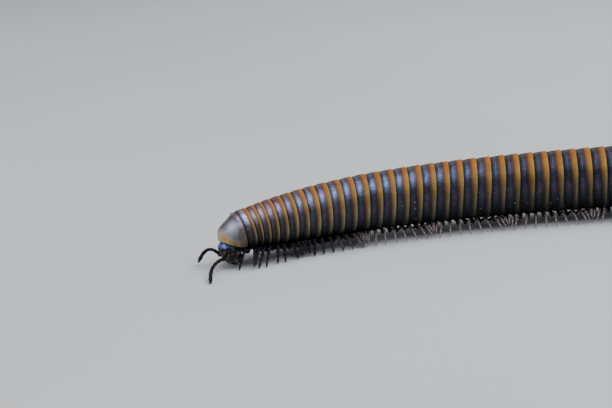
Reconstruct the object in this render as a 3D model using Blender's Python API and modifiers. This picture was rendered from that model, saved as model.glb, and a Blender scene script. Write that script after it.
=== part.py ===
"""A large round-backed millipede at life size, walking on level ground.

The head points to -X and the tail to +X, +Z is up, and the animal's left side faces -Y. The back is a chain
of fifty shell rings strung along a plan curve. Each ring is a turned solid, and its legs are tapered tubes
that are fused to its belly. The legs step in waves that run along the body.
"""

import math
import random

import bmesh
import bpy
from mathutils import Matrix, Vector

MM = 0.001
GAP = 0.3 * MM

# Rings: number 1 is the collar plate, 2 to 49 carry the legs, and the tail piece is number 50.
LAST_RING = 49
LAST_RING_WITH_LEGS = 48
LAST_RING_WITH_ONE_PAIR = 4
COLLAR_LENGTH = 2.6 * MM

# Distance from one ring to the next: short behind the head, longer along the trunk.
PITCH_FRONT = 0.53 * MM
PITCH_STEP = 1.29 * MM
PITCH_STEP_RING = 5.0
PITCH_STEP_WIDTH = 2.6
PITCH_TRUNK = 0.17 * MM
PITCH_TRUNK_RINGS = 14.0
NECK_RING_EXTRA = 0.65 * MM
TAIL_PITCH = {47: 0.94, 48: 0.86, 49: 0.76}

# Body radius: the trunk's, and how it narrows towards each end.
TRUNK_RADIUS = 4.28 * MM
COLLAR_RADIUS = 2.54 * MM
SWELL_RINGS = 8.7
SWELL_POWER = 1.28
TAIL_RADIUS = {45: 0.99, 46: 0.97, 47: 0.93, 48: 0.87, 49: 0.79}

# Height of the body's axis over the ground.
TRUNK_HEIGHT = 5.30 * MM
FRONT_DROP = 0.55 * MM
FRONT_DROP_RINGS = 15.0

# Plan curve, as the turn of the axis at each ring, in degrees.
HEAD_TURN = 24.0
HEAD_TURN_RINGS = 24.2
TRUNK_TURN = -6.9
TRUNK_TURN_FIRST, TRUNK_TURN_RINGS = 18.0, 14.0
TAIL_TURN = 22.0
TAIL_TURN_FIRST, TAIL_TURN_RINGS = 34.0, 18.0

# How far the rings slant, as backward travel for each unit up and each unit to the left.
NECK_LEAN, NECK_LEAN_RINGS = -0.20, 2.5
TRUNK_LEAN = 0.09
TRUNK_LEAN_FIRST, TRUNK_LEAN_RINGS = 4.0, 8.0
TRUNK_LEAN_END, TRUNK_LEAN_END_RINGS = 19.0, 15.0
FRONT_SWEEP = -0.08
FRONT_SWEEP_END, FRONT_SWEEP_END_RINGS = 20.0, 8.0

# The middle of the whole animal's footprint, in the frame that starts at the collar's front edge.
FOOTPRINT_MIDDLE = Vector((44.418 * MM, 2.859 * MM, 0.0))

# One ring's outline, as fractions of its radius and of its solid length.
RING_SIDES = 18
FORERING_FRONT = 0.945
FORERING_BACK = 0.970
SUTURE_AT = 0.40
HINDRING_FRONT = 0.985
HINDRING_AT = 0.50
CONE_DEPTH = 0.42 * MM

# Legs, for a ring of trunk size.
LEG_SIDES = 4
LEG_ROOT_RADIUS = 0.27 * MM
LEG_KNEE_RADIUS = 0.25 * MM
LEG_TIP_RADIUS = 0.165 * MM
LEG_ROOT_DEPTH = 0.55 * MM
HIP_BELOW_BELLY = 0.32 * MM
LOWEST_HIP = 0.62 * MM
KNEE_BELOW_SHELL = 0.56 * MM
ROOT_OUT, HIP_OUT, KNEE_OUT, FOOT_OUT = 0.14, 0.25, 0.72, 1.02

# The stepping wave: its length in rings, and how far and high a foot moves.
WAVE_START_RING = 7.65
WAVE_RINGS = 4.7
WAVE_STRETCH = 0.030
SWING_SHARE = 0.42
STEP_REACH = 0.55
HIP_SHARE, KNEE_SHARE = 0.1, 0.5
LIFT = 0.85 * MM
LIFTED_FOOT_IN = 0.35 * MM
FRONT_LEG_REACH = {2: 2.1 * MM, 3: 1.7 * MM, 4: 1.4 * MM, 5: 1.1 * MM, 6: 0.6 * MM}
FRONT_LEG_SPREAD = {3: 1.7 * MM, 4: 1.3 * MM, 5: 0.8 * MM, 6: 0.4 * MM}
LEGS_AT = {2: 0.25}
KNEE_SLANT = 0.5

# Head, in a frame at the middle of the collar's rear edge: forward, left and up.
HEAD_MIDDLE = Vector((1.22, 0.0, -2.55)) * MM
HEAD_TILT = math.radians(17.0)
HEAD_HALF_LENGTH = 1.85 * MM
HEAD_HALF_WIDTH = 2.0 * MM
FACE_DEPTH = 1.62 * MM
NAPE_DEPTH = 1.05 * MM
HEAD_BOXINESS = 0.80
CROWN_NARROWING = 0.35
JAW_NARROWING = 0.11
NAPE_NARROWING = 0.30
CHEEK_MIDDLE, CHEEK_RADII = Vector((1.26, 1.34, -2.95)) * MM, Vector((0.82, 0.70, 1.08)) * MM
LIP_MIDDLE, LIP_RADII = Vector((1.12, 0.0, -3.93)) * MM, Vector((0.74, 1.08, 0.60)) * MM
CHIN_MIDDLE, CHIN_RADII = Vector((0.52, 0.0, -3.72)) * MM, Vector((0.60, 1.05, 0.60)) * MM
NECK_RADIUS, NECK_DEPTH = 3.1 * MM, 4.0 * MM

EYE_DIRECTION = (0.42, 0.90, 0.36)
EYE_RADII = Vector((0.18, 0.44, 0.34)) * MM
EYE_GAP = 0.15 * MM

# Feelers: the socket's direction on the head, then knee and tip from the root, forward, left and up.
SOCKET_DIRECTION = (0.94, 0.28, -0.09)
LEFT_KNEE, LEFT_TIP = Vector((2.8, 1.0, 0.1)) * MM, Vector((4.2, 5.07, 0.0)) * MM
RIGHT_KNEE, RIGHT_TIP = Vector((1.4, -0.8, 2.4)) * MM, Vector((2.1, -3.2, -1.1)) * MM
LEFT_TIP_HEIGHT = 0.25 * MM
FEELER_ROOT_RADIUS = 0.30 * MM
FEELER_TIP_RADIUS = 0.20 * MM
FEELER_ARTICLES = 7
NARROW_END, WIDE_END, WIDE_END_AT = 0.72, 1.06, 0.84

# Collar: its reach over the head, its height at the back, and how its crown, sides and lower half close
# towards the front (a bulge of 2 is an ellipse, and more is blunter).
COLLAR_REACH = 2.85 * MM
COLLAR_HEIGHT = 2.36 * MM
CROWN_FALL = 0.75
CROWN_BULGE = 1.6
SIDE_BULGE = 1.8
FRONT_BULGE = 3.0

# Its lower half is round at the back and squarer from this share of its reach on, above a sloping edge.
COLLAR_SQUARENESS = 4.0
COLLAR_SQUARE_FROM = 0.4
COLLAR_EDGE_DROP = 2.15 * MM
COLLAR_EDGE_SLOPE = math.radians(-22.5)

# Tail piece as (radius, distance) shares, and the two valves behind it.
TELSON_LENGTH = 2.0 * MM
TELSON_OUTLINE = ((0.60, 1.0), (0.84, 0.72), (0.96, 0.38), (1.0, 0.0))
TELSON_TO_LAST_RING = 0.93
VALVE_RADII = Vector((1.75, 1.45, 1.10)) * MM
BLOCK = 8.0 * MM


def smooth(value):
    """0 below 0, 1 above 1, and an S-curve between."""
    value = min(max(value, 0.0), 1.0)
    return value * value * (3.0 - 2.0 * value)


def ring_pitch(ring):
    """Distance from this ring's front edge to the next one's."""
    if ring == 1:
        return COLLAR_LENGTH + GAP
    step = PITCH_STEP / (1.0 + math.exp((PITCH_STEP_RING - ring) / PITCH_STEP_WIDTH))
    trunk = PITCH_TRUNK * (1.0 - math.exp((1 - ring) / PITCH_TRUNK_RINGS))
    neck = NECK_RING_EXTRA if ring == 2 else 0.0
    return (PITCH_FRONT + step + trunk) * TAIL_PITCH.get(ring, 1.0) + neck


def ring_radius(ring):
    narrowing = math.exp(-(((ring - 1) / SWELL_RINGS) ** SWELL_POWER))
    return (TRUNK_RADIUS - (TRUNK_RADIUS - COLLAR_RADIUS) * narrowing) * TAIL_RADIUS.get(ring, 1.0)


def ring_turn(ring):
    """Angle in radians between +X and the way from this ring to the tail, in plan."""
    head = HEAD_TURN * (1.0 - smooth((ring - 1) / HEAD_TURN_RINGS))
    trunk = TRUNK_TURN * smooth((ring - TRUNK_TURN_FIRST) / TRUNK_TURN_RINGS)
    tail = TAIL_TURN * smooth((ring - TAIL_TURN_FIRST) / TAIL_TURN_RINGS)
    return math.radians(head + trunk + tail)


def axis_height(ring):
    return TRUNK_HEIGHT - FRONT_DROP * (1.0 - smooth((ring - 1) / FRONT_DROP_RINGS))


def ring_lean(ring):
    neck = NECK_LEAN * math.exp(-(((ring - 1) / NECK_LEAN_RINGS) ** 2))
    begun = smooth((ring - TRUNK_LEAN_FIRST) / TRUNK_LEAN_RINGS)
    ended = smooth((ring - TRUNK_LEAN_END) / TRUNK_LEAN_END_RINGS)
    return neck + TRUNK_LEAN * (begun - ended)


def ring_sweep(ring):
    return FRONT_SWEEP * (1.0 - smooth((ring - FRONT_SWEEP_END) / FRONT_SWEEP_END_RINGS))


class Ring:
    """Where one ring sits: its front point on the axis, the way to the tail, and its sizes."""

    def __init__(self, number, start):
        turn = ring_turn(number)
        self.number = number
        self.radius = ring_radius(number)
        self.pitch = ring_pitch(number)
        self.length = self.pitch - GAP
        self.start = start
        rise = axis_height(number + 1) - axis_height(number)
        self.backward = Vector((self.pitch * math.cos(turn), self.pitch * math.sin(turn), rise)).normalized()
        self.left = Vector((math.sin(turn), -math.cos(turn), 0.0))
        self.up = self.left.cross(self.backward).normalized()

    def matrix(self, along=0.0):
        """Frame whose Z runs to the tail, X up and Y to the animal's left."""
        place = self.start + self.backward * along
        axes = Matrix((self.up, self.left, self.backward)).transposed()
        return Matrix.Translation(place) @ axes.to_4x4()

    def point(self, along, out, height):
        """Point at this distance behind the front edge, out to the left, at this height over the ground."""
        place = self.start + self.backward * along + self.left * out
        place.z = height
        return place

    def slant(self, mesh):
        """Slants a mesh in this ring's frame, from this ring's slant in front to the next one's behind."""
        for vertex in mesh.vertices:
            at_ring = self.number + vertex.co.z / self.length
            vertex.co.z += ring_lean(at_ring) * vertex.co.x + ring_sweep(at_ring) * vertex.co.y


def body_plan():
    rings = {}
    start = Vector((0.0, 0.0, axis_height(1))) - FOOTPRINT_MIDDLE
    for number in range(1, LAST_RING + 2):
        ring = Ring(number, start.copy())
        rings[number] = ring
        start = start + ring.backward * ring.pitch
    return rings


def clear_scene():
    for obj in list(bpy.data.objects):
        bpy.data.objects.remove(obj, do_unlink=True)


def material(name, colour, roughness, metallic=0.0):
    found = bpy.data.materials.new(name)
    found.use_nodes = True
    shader = found.node_tree.nodes["Principled BSDF"]
    shader.inputs["Base Color"].default_value = (*colour, 1.0)
    shader.inputs["Roughness"].default_value = roughness
    shader.inputs["Metallic"].default_value = metallic
    return found


def new_object(name, data, collection, matrix=None):
    obj = bpy.data.objects.new(name, data)
    collection.objects.link(obj)
    if matrix is not None:
        obj.matrix_world = matrix
    return obj


def applied(obj):
    """Bakes the object's modifiers into its mesh, or turns its curve into a welded mesh object."""
    bpy.context.view_layer.update()
    evaluated = obj.evaluated_get(bpy.context.evaluated_depsgraph_get())
    mesh = bpy.data.meshes.new_from_object(evaluated)
    mesh.name = obj.name
    if obj.type == "MESH":
        obj.modifiers.clear()
        obj.data = mesh
        return obj
    shape = bmesh.new()
    shape.from_mesh(mesh)
    bmesh.ops.remove_doubles(shape, verts=shape.verts, dist=0.0001 * MM)
    bmesh.ops.recalc_face_normals(shape, faces=shape.faces)
    shape.to_mesh(mesh)
    shape.free()
    name, matrix, collection = obj.name, obj.matrix_world.copy(), obj.users_collection[0]
    bpy.data.objects.remove(obj, do_unlink=True)
    return new_object(name, mesh, collection, matrix)


def turned(name, profile, sides, collection, matrix):
    """Solid turned about local Z from (radius, height) points that run from its top to its bottom."""
    mesh = bpy.data.meshes.new(name)
    points = [(radius, 0.0, height) for radius, height in profile]
    mesh.from_pydata(points, [(i, i + 1) for i in range(len(points) - 1)], [])
    obj = new_object(name, mesh, collection, matrix)
    screw = obj.modifiers.new("Turn", "SCREW")
    screw.axis = "Z"
    screw.angle = math.tau
    screw.steps = sides
    screw.render_steps = sides
    screw.use_merge_vertices = True
    screw.merge_threshold = 0.0001 * MM
    return applied(obj)


def tube(name, lines, sides, collection):
    """Closed tapered tubes, one for each line of (point, radius) pairs."""
    section = bpy.data.curves.new(name + "_section", "CURVE")
    circle = section.splines.new("POLY")
    circle.points.add(sides - 1)
    for index, corner in enumerate(circle.points):
        angle = math.tau * index / sides
        corner.co = (math.cos(angle), math.sin(angle), 0.0, 1.0)
    circle.use_cyclic_u = True
    section_object = new_object(name + "_section", section, collection)
    curve = bpy.data.curves.new(name, "CURVE")
    curve.dimensions = "3D"
    curve.bevel_mode = "OBJECT"
    curve.bevel_object = section_object
    curve.use_fill_caps = True
    curve.twist_mode = "MINIMUM"
    for line in lines:
        spline = curve.splines.new("POLY")
        spline.points.add(len(line) - 1)
        for knot, (place, radius) in zip(spline.points, line):
            knot.co = (*place, 1.0)
            knot.radius = radius
    made = applied(new_object(name, curve, collection))
    bpy.data.objects.remove(section_object, do_unlink=True)
    return made


def ball(name, radii, segments, rings, collection, matrix):
    """Ellipsoid with its own mesh axes along the matrix's axes."""
    shape = bmesh.new()
    bmesh.ops.create_uvsphere(shape, u_segments=segments, v_segments=rings, radius=1.0)
    bmesh.ops.scale(shape, vec=radii, verts=shape.verts)
    mesh = bpy.data.meshes.new(name)
    shape.to_mesh(mesh)
    shape.free()
    return new_object(name, mesh, collection, matrix)


def largest_surface(obj):
    """Keeps only the object's largest closed surface."""
    shape = bmesh.new()
    shape.from_mesh(obj.data)
    unseen = set(shape.verts)
    groups = []
    while unseen:
        group = {unseen.pop()}
        front = list(group)
        while front:
            vertex = front.pop()
            near = {edge.other_vert(vertex) for edge in vertex.link_edges} & unseen
            unseen -= near
            group |= near
            front.extend(near)
        groups.append(group)
    groups.sort(key=len)
    scrap = [vertex for group in groups[:-1] for vertex in group]
    bmesh.ops.delete(shape, geom=scrap, context="VERTS")
    shape.to_mesh(obj.data)
    shape.free()


def combined(obj, others, operation):
    """Joins the other mesh objects to this one, or cuts them from it, and removes them."""
    tools = bpy.data.collections.new("tools")
    bpy.context.scene.collection.children.link(tools)
    for other in others:
        tools.objects.link(other)
    boolean = obj.modifiers.new(operation.title(), "BOOLEAN")
    boolean.operation = operation
    boolean.operand_type = "COLLECTION"
    boolean.collection = tools
    applied(obj)
    for other in others:
        bpy.data.objects.remove(other, do_unlink=True)
    bpy.data.collections.remove(tools)
    largest_surface(obj)


def trim_at_ground(obj):
    """Cuts what lies under the ground off closed tubes, and closes each cut with a flat sole."""
    shape = bmesh.new()
    shape.from_mesh(obj.data)
    everything = list(shape.verts) + list(shape.edges) + list(shape.faces)
    cut = bmesh.ops.bisect_plane(
        shape, geom=everything, plane_co=(0, 0, 0), plane_no=(0, 0, 1), clear_inner=True
    )
    edges = [item for item in cut["geom_cut"] if isinstance(item, bmesh.types.BMEdge)]
    if edges:
        bmesh.ops.contextual_create(shape, geom=[edge for edge in shape.edges if edge.is_boundary])
    bmesh.ops.recalc_face_normals(shape, faces=shape.faces)
    shape.to_mesh(obj.data)
    shape.free()


def finish(obj, finish_material, angle=40.0):
    obj.data.materials.clear()
    obj.data.materials.append(finish_material)
    obj.data.shade_smooth()
    obj.data.set_sharp_from_angle(angle=math.radians(angle))


def ring_solid(ring, collection, front_cone=CONE_DEPTH):
    """Fore-ring, suture and wider hind-ring, bulging forward and hollowed behind so that rings nest."""
    radius, length = ring.radius, ring.length
    profile = [
        (0.0, length - CONE_DEPTH),
        (radius, length),
        (radius * HINDRING_FRONT, length * HINDRING_AT),
        (radius * FORERING_BACK, length * SUTURE_AT),
        (radius * FORERING_FRONT, 0.0),
        (0.0, -front_cone),
    ]
    solid = turned(f"ring_{ring.number:02d}", profile, RING_SIDES, collection, ring.matrix())
    ring.slant(solid.data)
    return solid


def step(phase):
    """Foot's place in its step: backward offset -1 to 1, and lift 0 to 1. Whole phases are mid-swing."""
    turn = (phase + 0.5 * SWING_SHARE) % 1.0
    if turn < SWING_SHARE:
        share = turn / SWING_SHARE
        return 1.0 - 2.0 * share, math.sin(math.pi * share)
    share = (turn - SWING_SHARE) / (1.0 - SWING_SHARE)
    return 2.0 * share - 1.0, 0.0


def leg_line(ring, along, side, wobble):
    """Centre line of one leg, from inside the ring's belly to its foot, as (point, radius) pairs."""
    size = math.sqrt(ring.radius / TRUNK_RADIUS)
    height = ring.start.z + ring.backward.z * along
    belly = height - ring.radius
    distance = ring.number - WAVE_START_RING + along / ring.pitch - 0.8
    offset, lift = step(distance / (WAVE_RINGS + WAVE_STRETCH * distance))
    reach = STEP_REACH * ring.pitch
    foot_shift = reach * offset + wobble[0] - FRONT_LEG_REACH.get(ring.number, 0.0)
    belly_shift = -ring_lean(ring.number) * ring.radius
    hip_shift = HIP_SHARE * foot_shift + belly_shift
    knee_shift = KNEE_SHARE * foot_shift + KNEE_SLANT * belly_shift
    shell_over_knee = height - ring.radius * math.sqrt(1.0 - KNEE_OUT**2)
    root_out, hip_out, knee_out, foot_out = (
        side * ring.radius * share for share in (ROOT_OUT, HIP_OUT, KNEE_OUT, FOOT_OUT)
    )
    spread = FRONT_LEG_SPREAD.get(ring.number, 0.0)
    foot_out += side * (wobble[1] + spread - LIFTED_FOOT_IN * lift)
    hip_height = max(belly - HIP_BELOW_BELLY, LOWEST_HIP)
    knee_height = shell_over_knee - KNEE_BELOW_SHELL
    foot_height = LIFT * lift - 2.0 * LEG_TIP_RADIUS * (lift == 0.0)
    return [
        (ring.point(along + belly_shift, root_out, belly + LEG_ROOT_DEPTH), LEG_ROOT_RADIUS * size),
        (ring.point(along + hip_shift, hip_out, hip_height), LEG_ROOT_RADIUS * size),
        (ring.point(along + knee_shift, knee_out, knee_height), LEG_KNEE_RADIUS * size),
        (ring.point(along + foot_shift, foot_out, foot_height), LEG_TIP_RADIUS * size),
    ]


def ring_legs(ring, chance, collection):
    """All legs of one ring as one mesh object of separate closed tubes."""
    pairs = 1 if ring.number <= LAST_RING_WITH_ONE_PAIR else 2
    spacing = ring.pitch / pairs
    lines = []
    for pair in range(pairs):
        along = LEGS_AT.get(ring.number, 0.5) * ring.length + (pair - 0.5 * (pairs - 1)) * spacing
        for side in (-1, 1):
            wobble = (chance.uniform(-0.02, 0.02) * MM, chance.uniform(-0.12, 0.08) * MM)
            lines.append(leg_line(ring, along, side, wobble))
    legs = tube(f"legs_{ring.number:02d}", lines, LEG_SIDES, collection)
    trim_at_ground(legs)
    return legs


def make_rings(rings, collection, shell):
    chance = random.Random(11)
    for number in range(2, LAST_RING + 1):
        ring = rings[number]
        solid = ring_solid(ring, collection, 0.0 if number == 2 else CONE_DEPTH)
        if number <= LAST_RING_WITH_LEGS:
            combined(solid, [ring_legs(ring, chance, collection)], "UNION")
        finish(solid, shell)


def head_frame(rings):
    """Frame at the middle of the collar's rear edge: X forward, Y left, Z up."""
    collar = rings[1]
    axes = Matrix((-collar.backward, collar.left, collar.up)).transposed()
    return Matrix.Translation(collar.start + collar.backward * COLLAR_LENGTH) @ axes.to_4x4()


def head_point(direction, swell=0.0):
    """Point of the head's surface for a direction (to the face, to the left, to the crown), in its frame."""
    ahead, aside, above = Vector(direction).normalized()
    ahead, aside, above = (
        math.copysign(abs(value) ** HEAD_BOXINESS, value) for value in (ahead, aside, above)
    )
    jaw = 0.5 * (1.0 - above)
    narrowing = 1.0 - JAW_NARROWING * jaw
    depth = FACE_DEPTH * narrowing if ahead > 0.0 else NAPE_DEPTH * (1.0 - NAPE_NARROWING * jaw)
    width = HEAD_HALF_WIDTH * narrowing * (1.0 - CROWN_NARROWING * max(above, 0.0))
    local = Vector(((depth + swell) * ahead, (width + swell) * aside, (HEAD_HALF_LENGTH + swell) * above))
    return HEAD_MIDDLE + Matrix.Rotation(HEAD_TILT, 3, "Y") @ local


def head_shell(name, swell, segments, loops, collection, frame):
    """The head's rounded box: a sphere whose points are moved to head_point."""
    shape = bmesh.new()
    bmesh.ops.create_uvsphere(shape, u_segments=segments, v_segments=loops, radius=1.0)
    for vertex in shape.verts:
        vertex.co = head_point(vertex.co, swell)
    mesh = bpy.data.meshes.new(name)
    shape.to_mesh(mesh)
    shape.free()
    return new_object(name, mesh, collection, frame)


def at(frame, place):
    return frame @ Matrix.Translation(place)


def eye_matrix(frame, side):
    """Frame of one eye patch, with X along the head's outward normal."""
    ahead, aside, above = EYE_DIRECTION
    direction = Vector((ahead, side * aside, above))
    place = head_point(direction)
    turn = direction.to_track_quat("X", "Z").to_matrix().to_4x4()
    return frame @ Matrix.Translation(place) @ turn


def feeler_line(frame, side):
    """The feeler's centre line from its socket, bent near its middle, as points and radii."""
    ahead, aside, above = SOCKET_DIRECTION
    root = frame @ head_point((ahead, side * aside, above))
    turn = frame.to_3x3()
    forward = (turn @ Vector((1, 0, 0))).to_2d().to_3d().normalized()
    left = (turn @ Vector((0, 1, 0))).normalized()
    bend, end = (LEFT_KNEE, LEFT_TIP) if side > 0 else (RIGHT_KNEE, RIGHT_TIP)
    knee = root + forward * bend.x + left * bend.y + Vector((0.0, 0.0, bend.z))
    tip = root + forward * end.x + left * end.y + Vector((0.0, 0.0, end.z))
    if side > 0:
        tip.z = LEFT_TIP_HEIGHT
    line = []
    for article in range(FEELER_ARTICLES):
        for along, bulge in ((0.0, NARROW_END), (WIDE_END_AT, WIDE_END)):
            share = (article + along) / FEELER_ARTICLES
            place = root * (1 - share) ** 2 + knee * 2 * share * (1 - share) + tip * share**2
            radius = FEELER_ROOT_RADIUS + (FEELER_TIP_RADIUS - FEELER_ROOT_RADIUS) * share
            line.append((place, radius * bulge))
    line.append((tip, FEELER_TIP_RADIUS * NARROW_END))
    return line


def block(matrix):
    """Cube used for cutting, centred in this frame."""
    bpy.ops.mesh.primitive_cube_add(size=BLOCK)
    cube = bpy.context.object
    cube.matrix_world = matrix
    return cube


def make_head(rings, collection, chitin, eye_gloss, feeler_chitin):
    frame = head_frame(rings)
    head = head_shell("head", 0.0, 20, 12, collection, frame)
    added = [
        ball("lip", LIP_RADII, 12, 6, collection, at(frame, LIP_MIDDLE)),
        ball("chin", CHIN_RADII, 12, 6, collection, at(frame, CHIN_MIDDLE)),
    ]
    for side in (-1, 1):
        middle = Vector((CHEEK_MIDDLE.x, CHEEK_MIDDLE.y * side, CHEEK_MIDDLE.z))
        added.append(ball("cheek", CHEEK_RADII, 10, 7, collection, at(frame, middle)))
    combined(head, added, "UNION")
    bpy.ops.mesh.primitive_cylinder_add(vertices=24, radius=NECK_RADIUS, depth=NECK_DEPTH)
    neck = bpy.context.object
    neck.matrix_world = rings[2].matrix(-GAP) @ Matrix.Translation((0, 0, 0.5 * NECK_DEPTH))
    for vertex in neck.data.vertices:
        vertex.co.z += ring_lean(2) * vertex.co.x + ring_sweep(2) * vertex.co.y
    cuts = [neck]
    for side, name in ((1, "left"), (-1, "right")):
        place = eye_matrix(frame, side)
        eye = ball(f"eye_{name}", EYE_RADII, 10, 6, collection, place)
        finish(eye, eye_gloss)
        socket = EYE_RADII + Vector((EYE_GAP, EYE_GAP, EYE_GAP))
        cuts.append(ball("eye_socket", socket, 10, 6, collection, place))
        line = feeler_line(frame, side)
        feeler = tube(f"antenna_{name}", [line], 6, collection)
        finish(feeler, feeler_chitin)
        reach = FEELER_ROOT_RADIUS + GAP
        root = Matrix.Translation(line[0][0])
        cuts.append(ball("feeler_socket", Vector((reach, reach, reach)), 10, 6, collection, root))
    combined(head, cuts, "DIFFERENCE")
    finish(head, chitin)


def collar_point(direction):
    """Point of the collar's dome for a unit direction (forward, left, up), in the head's frame."""
    share = min(abs(direction.x), 0.999)
    across = max(math.hypot(direction.y, direction.z), 0.001)
    aside, above = direction.y / across, direction.z / across
    width = COLLAR_RADIUS * (1.0 - share**SIDE_BULGE) ** (1.0 / SIDE_BULGE)
    height = COLLAR_HEIGHT * (1.0 - share**CROWN_FALL) ** (1.0 / CROWN_BULGE)
    power = 1.0
    if above < 0.0:
        height = COLLAR_RADIUS * (1.0 - share**FRONT_BULGE) ** (1.0 / FRONT_BULGE)
        power = 2.0 / (2.0 + (COLLAR_SQUARENESS - 2.0) * smooth(share / COLLAR_SQUARE_FROM))
    return Vector(
        (
            math.copysign(COLLAR_REACH * share, direction.x),
            math.copysign(width * abs(aside) ** power, aside),
            math.copysign(height * abs(above) ** power, above),
        )
    )


def make_collar(rings, collection, shell):
    """Hood plate over the back of the head: half a dome, cut off low and hollowed for the head."""
    frame = head_frame(rings)
    collar = ball("collum", Vector((1.0, 1.0, 1.0)), 24, 16, collection, frame)
    for vertex in collar.data.vertices:
        vertex.co = collar_point(vertex.co)
    half = Matrix.Translation((-0.5 * BLOCK, 0, 0))
    slope = Matrix.Rotation(COLLAR_EDGE_SLOPE, 4, "Y") @ Matrix.Translation((0, 0, -0.5 * BLOCK))
    back = block(frame @ half)
    below = block(frame @ Matrix.Translation((0, 0, -COLLAR_EDGE_DROP)) @ slope)
    combined(collar, [back, below], "DIFFERENCE")
    for vertex in collar.data.vertices:
        fading = 1.0 - max(vertex.co.x, 0.0) / COLLAR_REACH
        vertex.co.x -= fading * (ring_lean(2) * vertex.co.z + ring_sweep(2) * vertex.co.y)
    combined(collar, [head_shell("room", GAP, 20, 14, collection, frame)], "DIFFERENCE")
    finish(collar, shell)


def make_tail(rings, collection, shell):
    """Tail piece that closes to a blunt point, with two valves behind it."""
    tail = rings[LAST_RING + 1]
    radius = ring_radius(LAST_RING) * TELSON_TO_LAST_RING
    profile = [(0.0, TELSON_LENGTH)]
    profile += [(radius * wide, TELSON_LENGTH * along) for wide, along in TELSON_OUTLINE]
    profile.append((0.0, -CONE_DEPTH))
    finish(turned("telson", profile, RING_SIDES, collection, tail.matrix()), shell)
    for side, name in ((1, "left"), (-1, "right")):
        place = tail.matrix(TELSON_LENGTH + GAP)
        valve = ball(f"anal_valve_{name}", VALVE_RADII, 16, 10, collection, place)
        before = block(place @ Matrix.Translation((0, 0, -0.5 * BLOCK)))
        beside = block(place @ Matrix.Translation((0, 0.5 * (GAP - BLOCK) * side, 0)))
        combined(valve, [before, beside], "DIFFERENCE")
        finish(valve, shell)


def main():
    clear_scene()
    collection = bpy.data.collections.new("millipede")
    bpy.context.scene.collection.children.link(collection)
    shell = material("shell", (0.055, 0.060, 0.075), 0.35)
    head_chitin = material("head_chitin", (0.030, 0.026, 0.030), 0.40)
    feeler_chitin = material("feeler_chitin", (0.045, 0.022, 0.025), 0.45)
    eye_gloss = material("eye_gloss", (0.008, 0.008, 0.010), 0.15)
    rings = body_plan()
    make_rings(rings, collection, shell)
    make_collar(rings, collection, shell)
    make_head(rings, collection, head_chitin, eye_gloss, feeler_chitin)
    make_tail(rings, collection, shell)


main()
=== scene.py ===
"""Dresses a life-size model of a large round-backed millipede that walks on a level floor.

The head points to -X, the tail to +X, and the animal's left side faces the camera at -Y. The shell's rings
are strung along a plan curve, each with its own legs, and every one is a fine surface in the place of its
plain solid. All shapes are grids of points worked out with numpy from the classes' sizes, in metres.
"""

from __future__ import annotations

import logging
import math
import random
from dataclasses import dataclass, field
from enum import Enum

import bmesh
import bpy
import numpy as np
from mathutils import Matrix, Vector

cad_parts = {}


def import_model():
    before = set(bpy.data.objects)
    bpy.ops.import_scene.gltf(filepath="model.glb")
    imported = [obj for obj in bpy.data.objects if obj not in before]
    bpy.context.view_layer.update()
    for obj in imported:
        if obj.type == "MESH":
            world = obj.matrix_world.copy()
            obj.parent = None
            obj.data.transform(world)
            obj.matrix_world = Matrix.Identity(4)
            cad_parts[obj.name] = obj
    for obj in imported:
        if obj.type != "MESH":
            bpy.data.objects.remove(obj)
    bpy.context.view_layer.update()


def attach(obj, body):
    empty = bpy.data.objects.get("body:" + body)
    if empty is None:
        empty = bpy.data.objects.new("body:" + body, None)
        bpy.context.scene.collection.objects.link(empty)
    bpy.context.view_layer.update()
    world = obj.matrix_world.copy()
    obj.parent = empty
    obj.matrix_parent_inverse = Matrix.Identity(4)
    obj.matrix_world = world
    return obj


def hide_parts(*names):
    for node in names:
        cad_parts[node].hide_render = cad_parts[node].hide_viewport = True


Array = np.ndarray
Material = bpy.types.Material
Pair = tuple[float, float]
Triple = tuple[float, float, float]
Stop = tuple[int, int, int, int]
Rings = dict[int, "RingPlace"]
Inputs = dict[str | int, object]
LOG = logging.getLogger("millipede")
MM = 0.001
SAME_PLACE = 0.00005 * MM
FLOOR_PLAY = 0.004 * MM
CREASE = math.radians(50.0)
LIMB_SLANT = np.array((0.31, 0.12, 0.94))
HAIR_SLANT = np.array((0.43, 0.21, 0.88))
UPRIGHT = np.array((0.0, 0.0, 1.0))
BODY = "root"


def smooth(value: Array | float, low: float = 0.0, high: float = 1.0) -> Array | float:
    """S-curve: 0 up to low, 1 from high on, and 3t^2 - 2t^3 between.

    Args:
        value: Where to read the curve.
        low: End of the flat stretch at 0.
        high: Start of the flat stretch at 1.

    Returns:
        The curve's height, in the same form as the value.
    """
    share = np.clip((value - low) / (high - low), 0.0, 1.0)
    return share * share * (3.0 - 2.0 * share)


def hump(value: Array | float, middle: float, width: float) -> Array | float:
    """Bell curve exp(-((value - middle) / width)^2)."""
    return np.exp(-(((value - middle) / width) ** 2))


def unit(vectors: Array) -> Array:
    """The same directions with length 1, along the last axis."""
    return vectors / np.linalg.norm(vectors, axis=-1, keepdims=True)


def turns(count: int) -> Array:
    """Angles of a full turn in this many even steps."""
    return np.linspace(0.0, math.tau, count, endpoint=False)


def sphere(rows: int, columns: int) -> Array:
    """Unit directions (sin p cos a, sin p sin a, cos p) as (rows, columns, 3), without the poles."""
    polar, around = np.meshgrid(np.linspace(0.0, math.pi, rows + 2)[1:-1], turns(columns), indexing="ij")
    return np.stack((np.sin(polar) * np.cos(around), np.sin(polar) * np.sin(around), np.cos(polar)), axis=-1)


def across(ways: Array, helper: Array = LIMB_SLANT) -> tuple[Array, Array]:
    """Two unit directions at right angles to each unit direction, the first also to the helper."""
    aside = unit(np.cross(ways, helper))
    return aside, np.cross(ways, aside)


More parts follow.
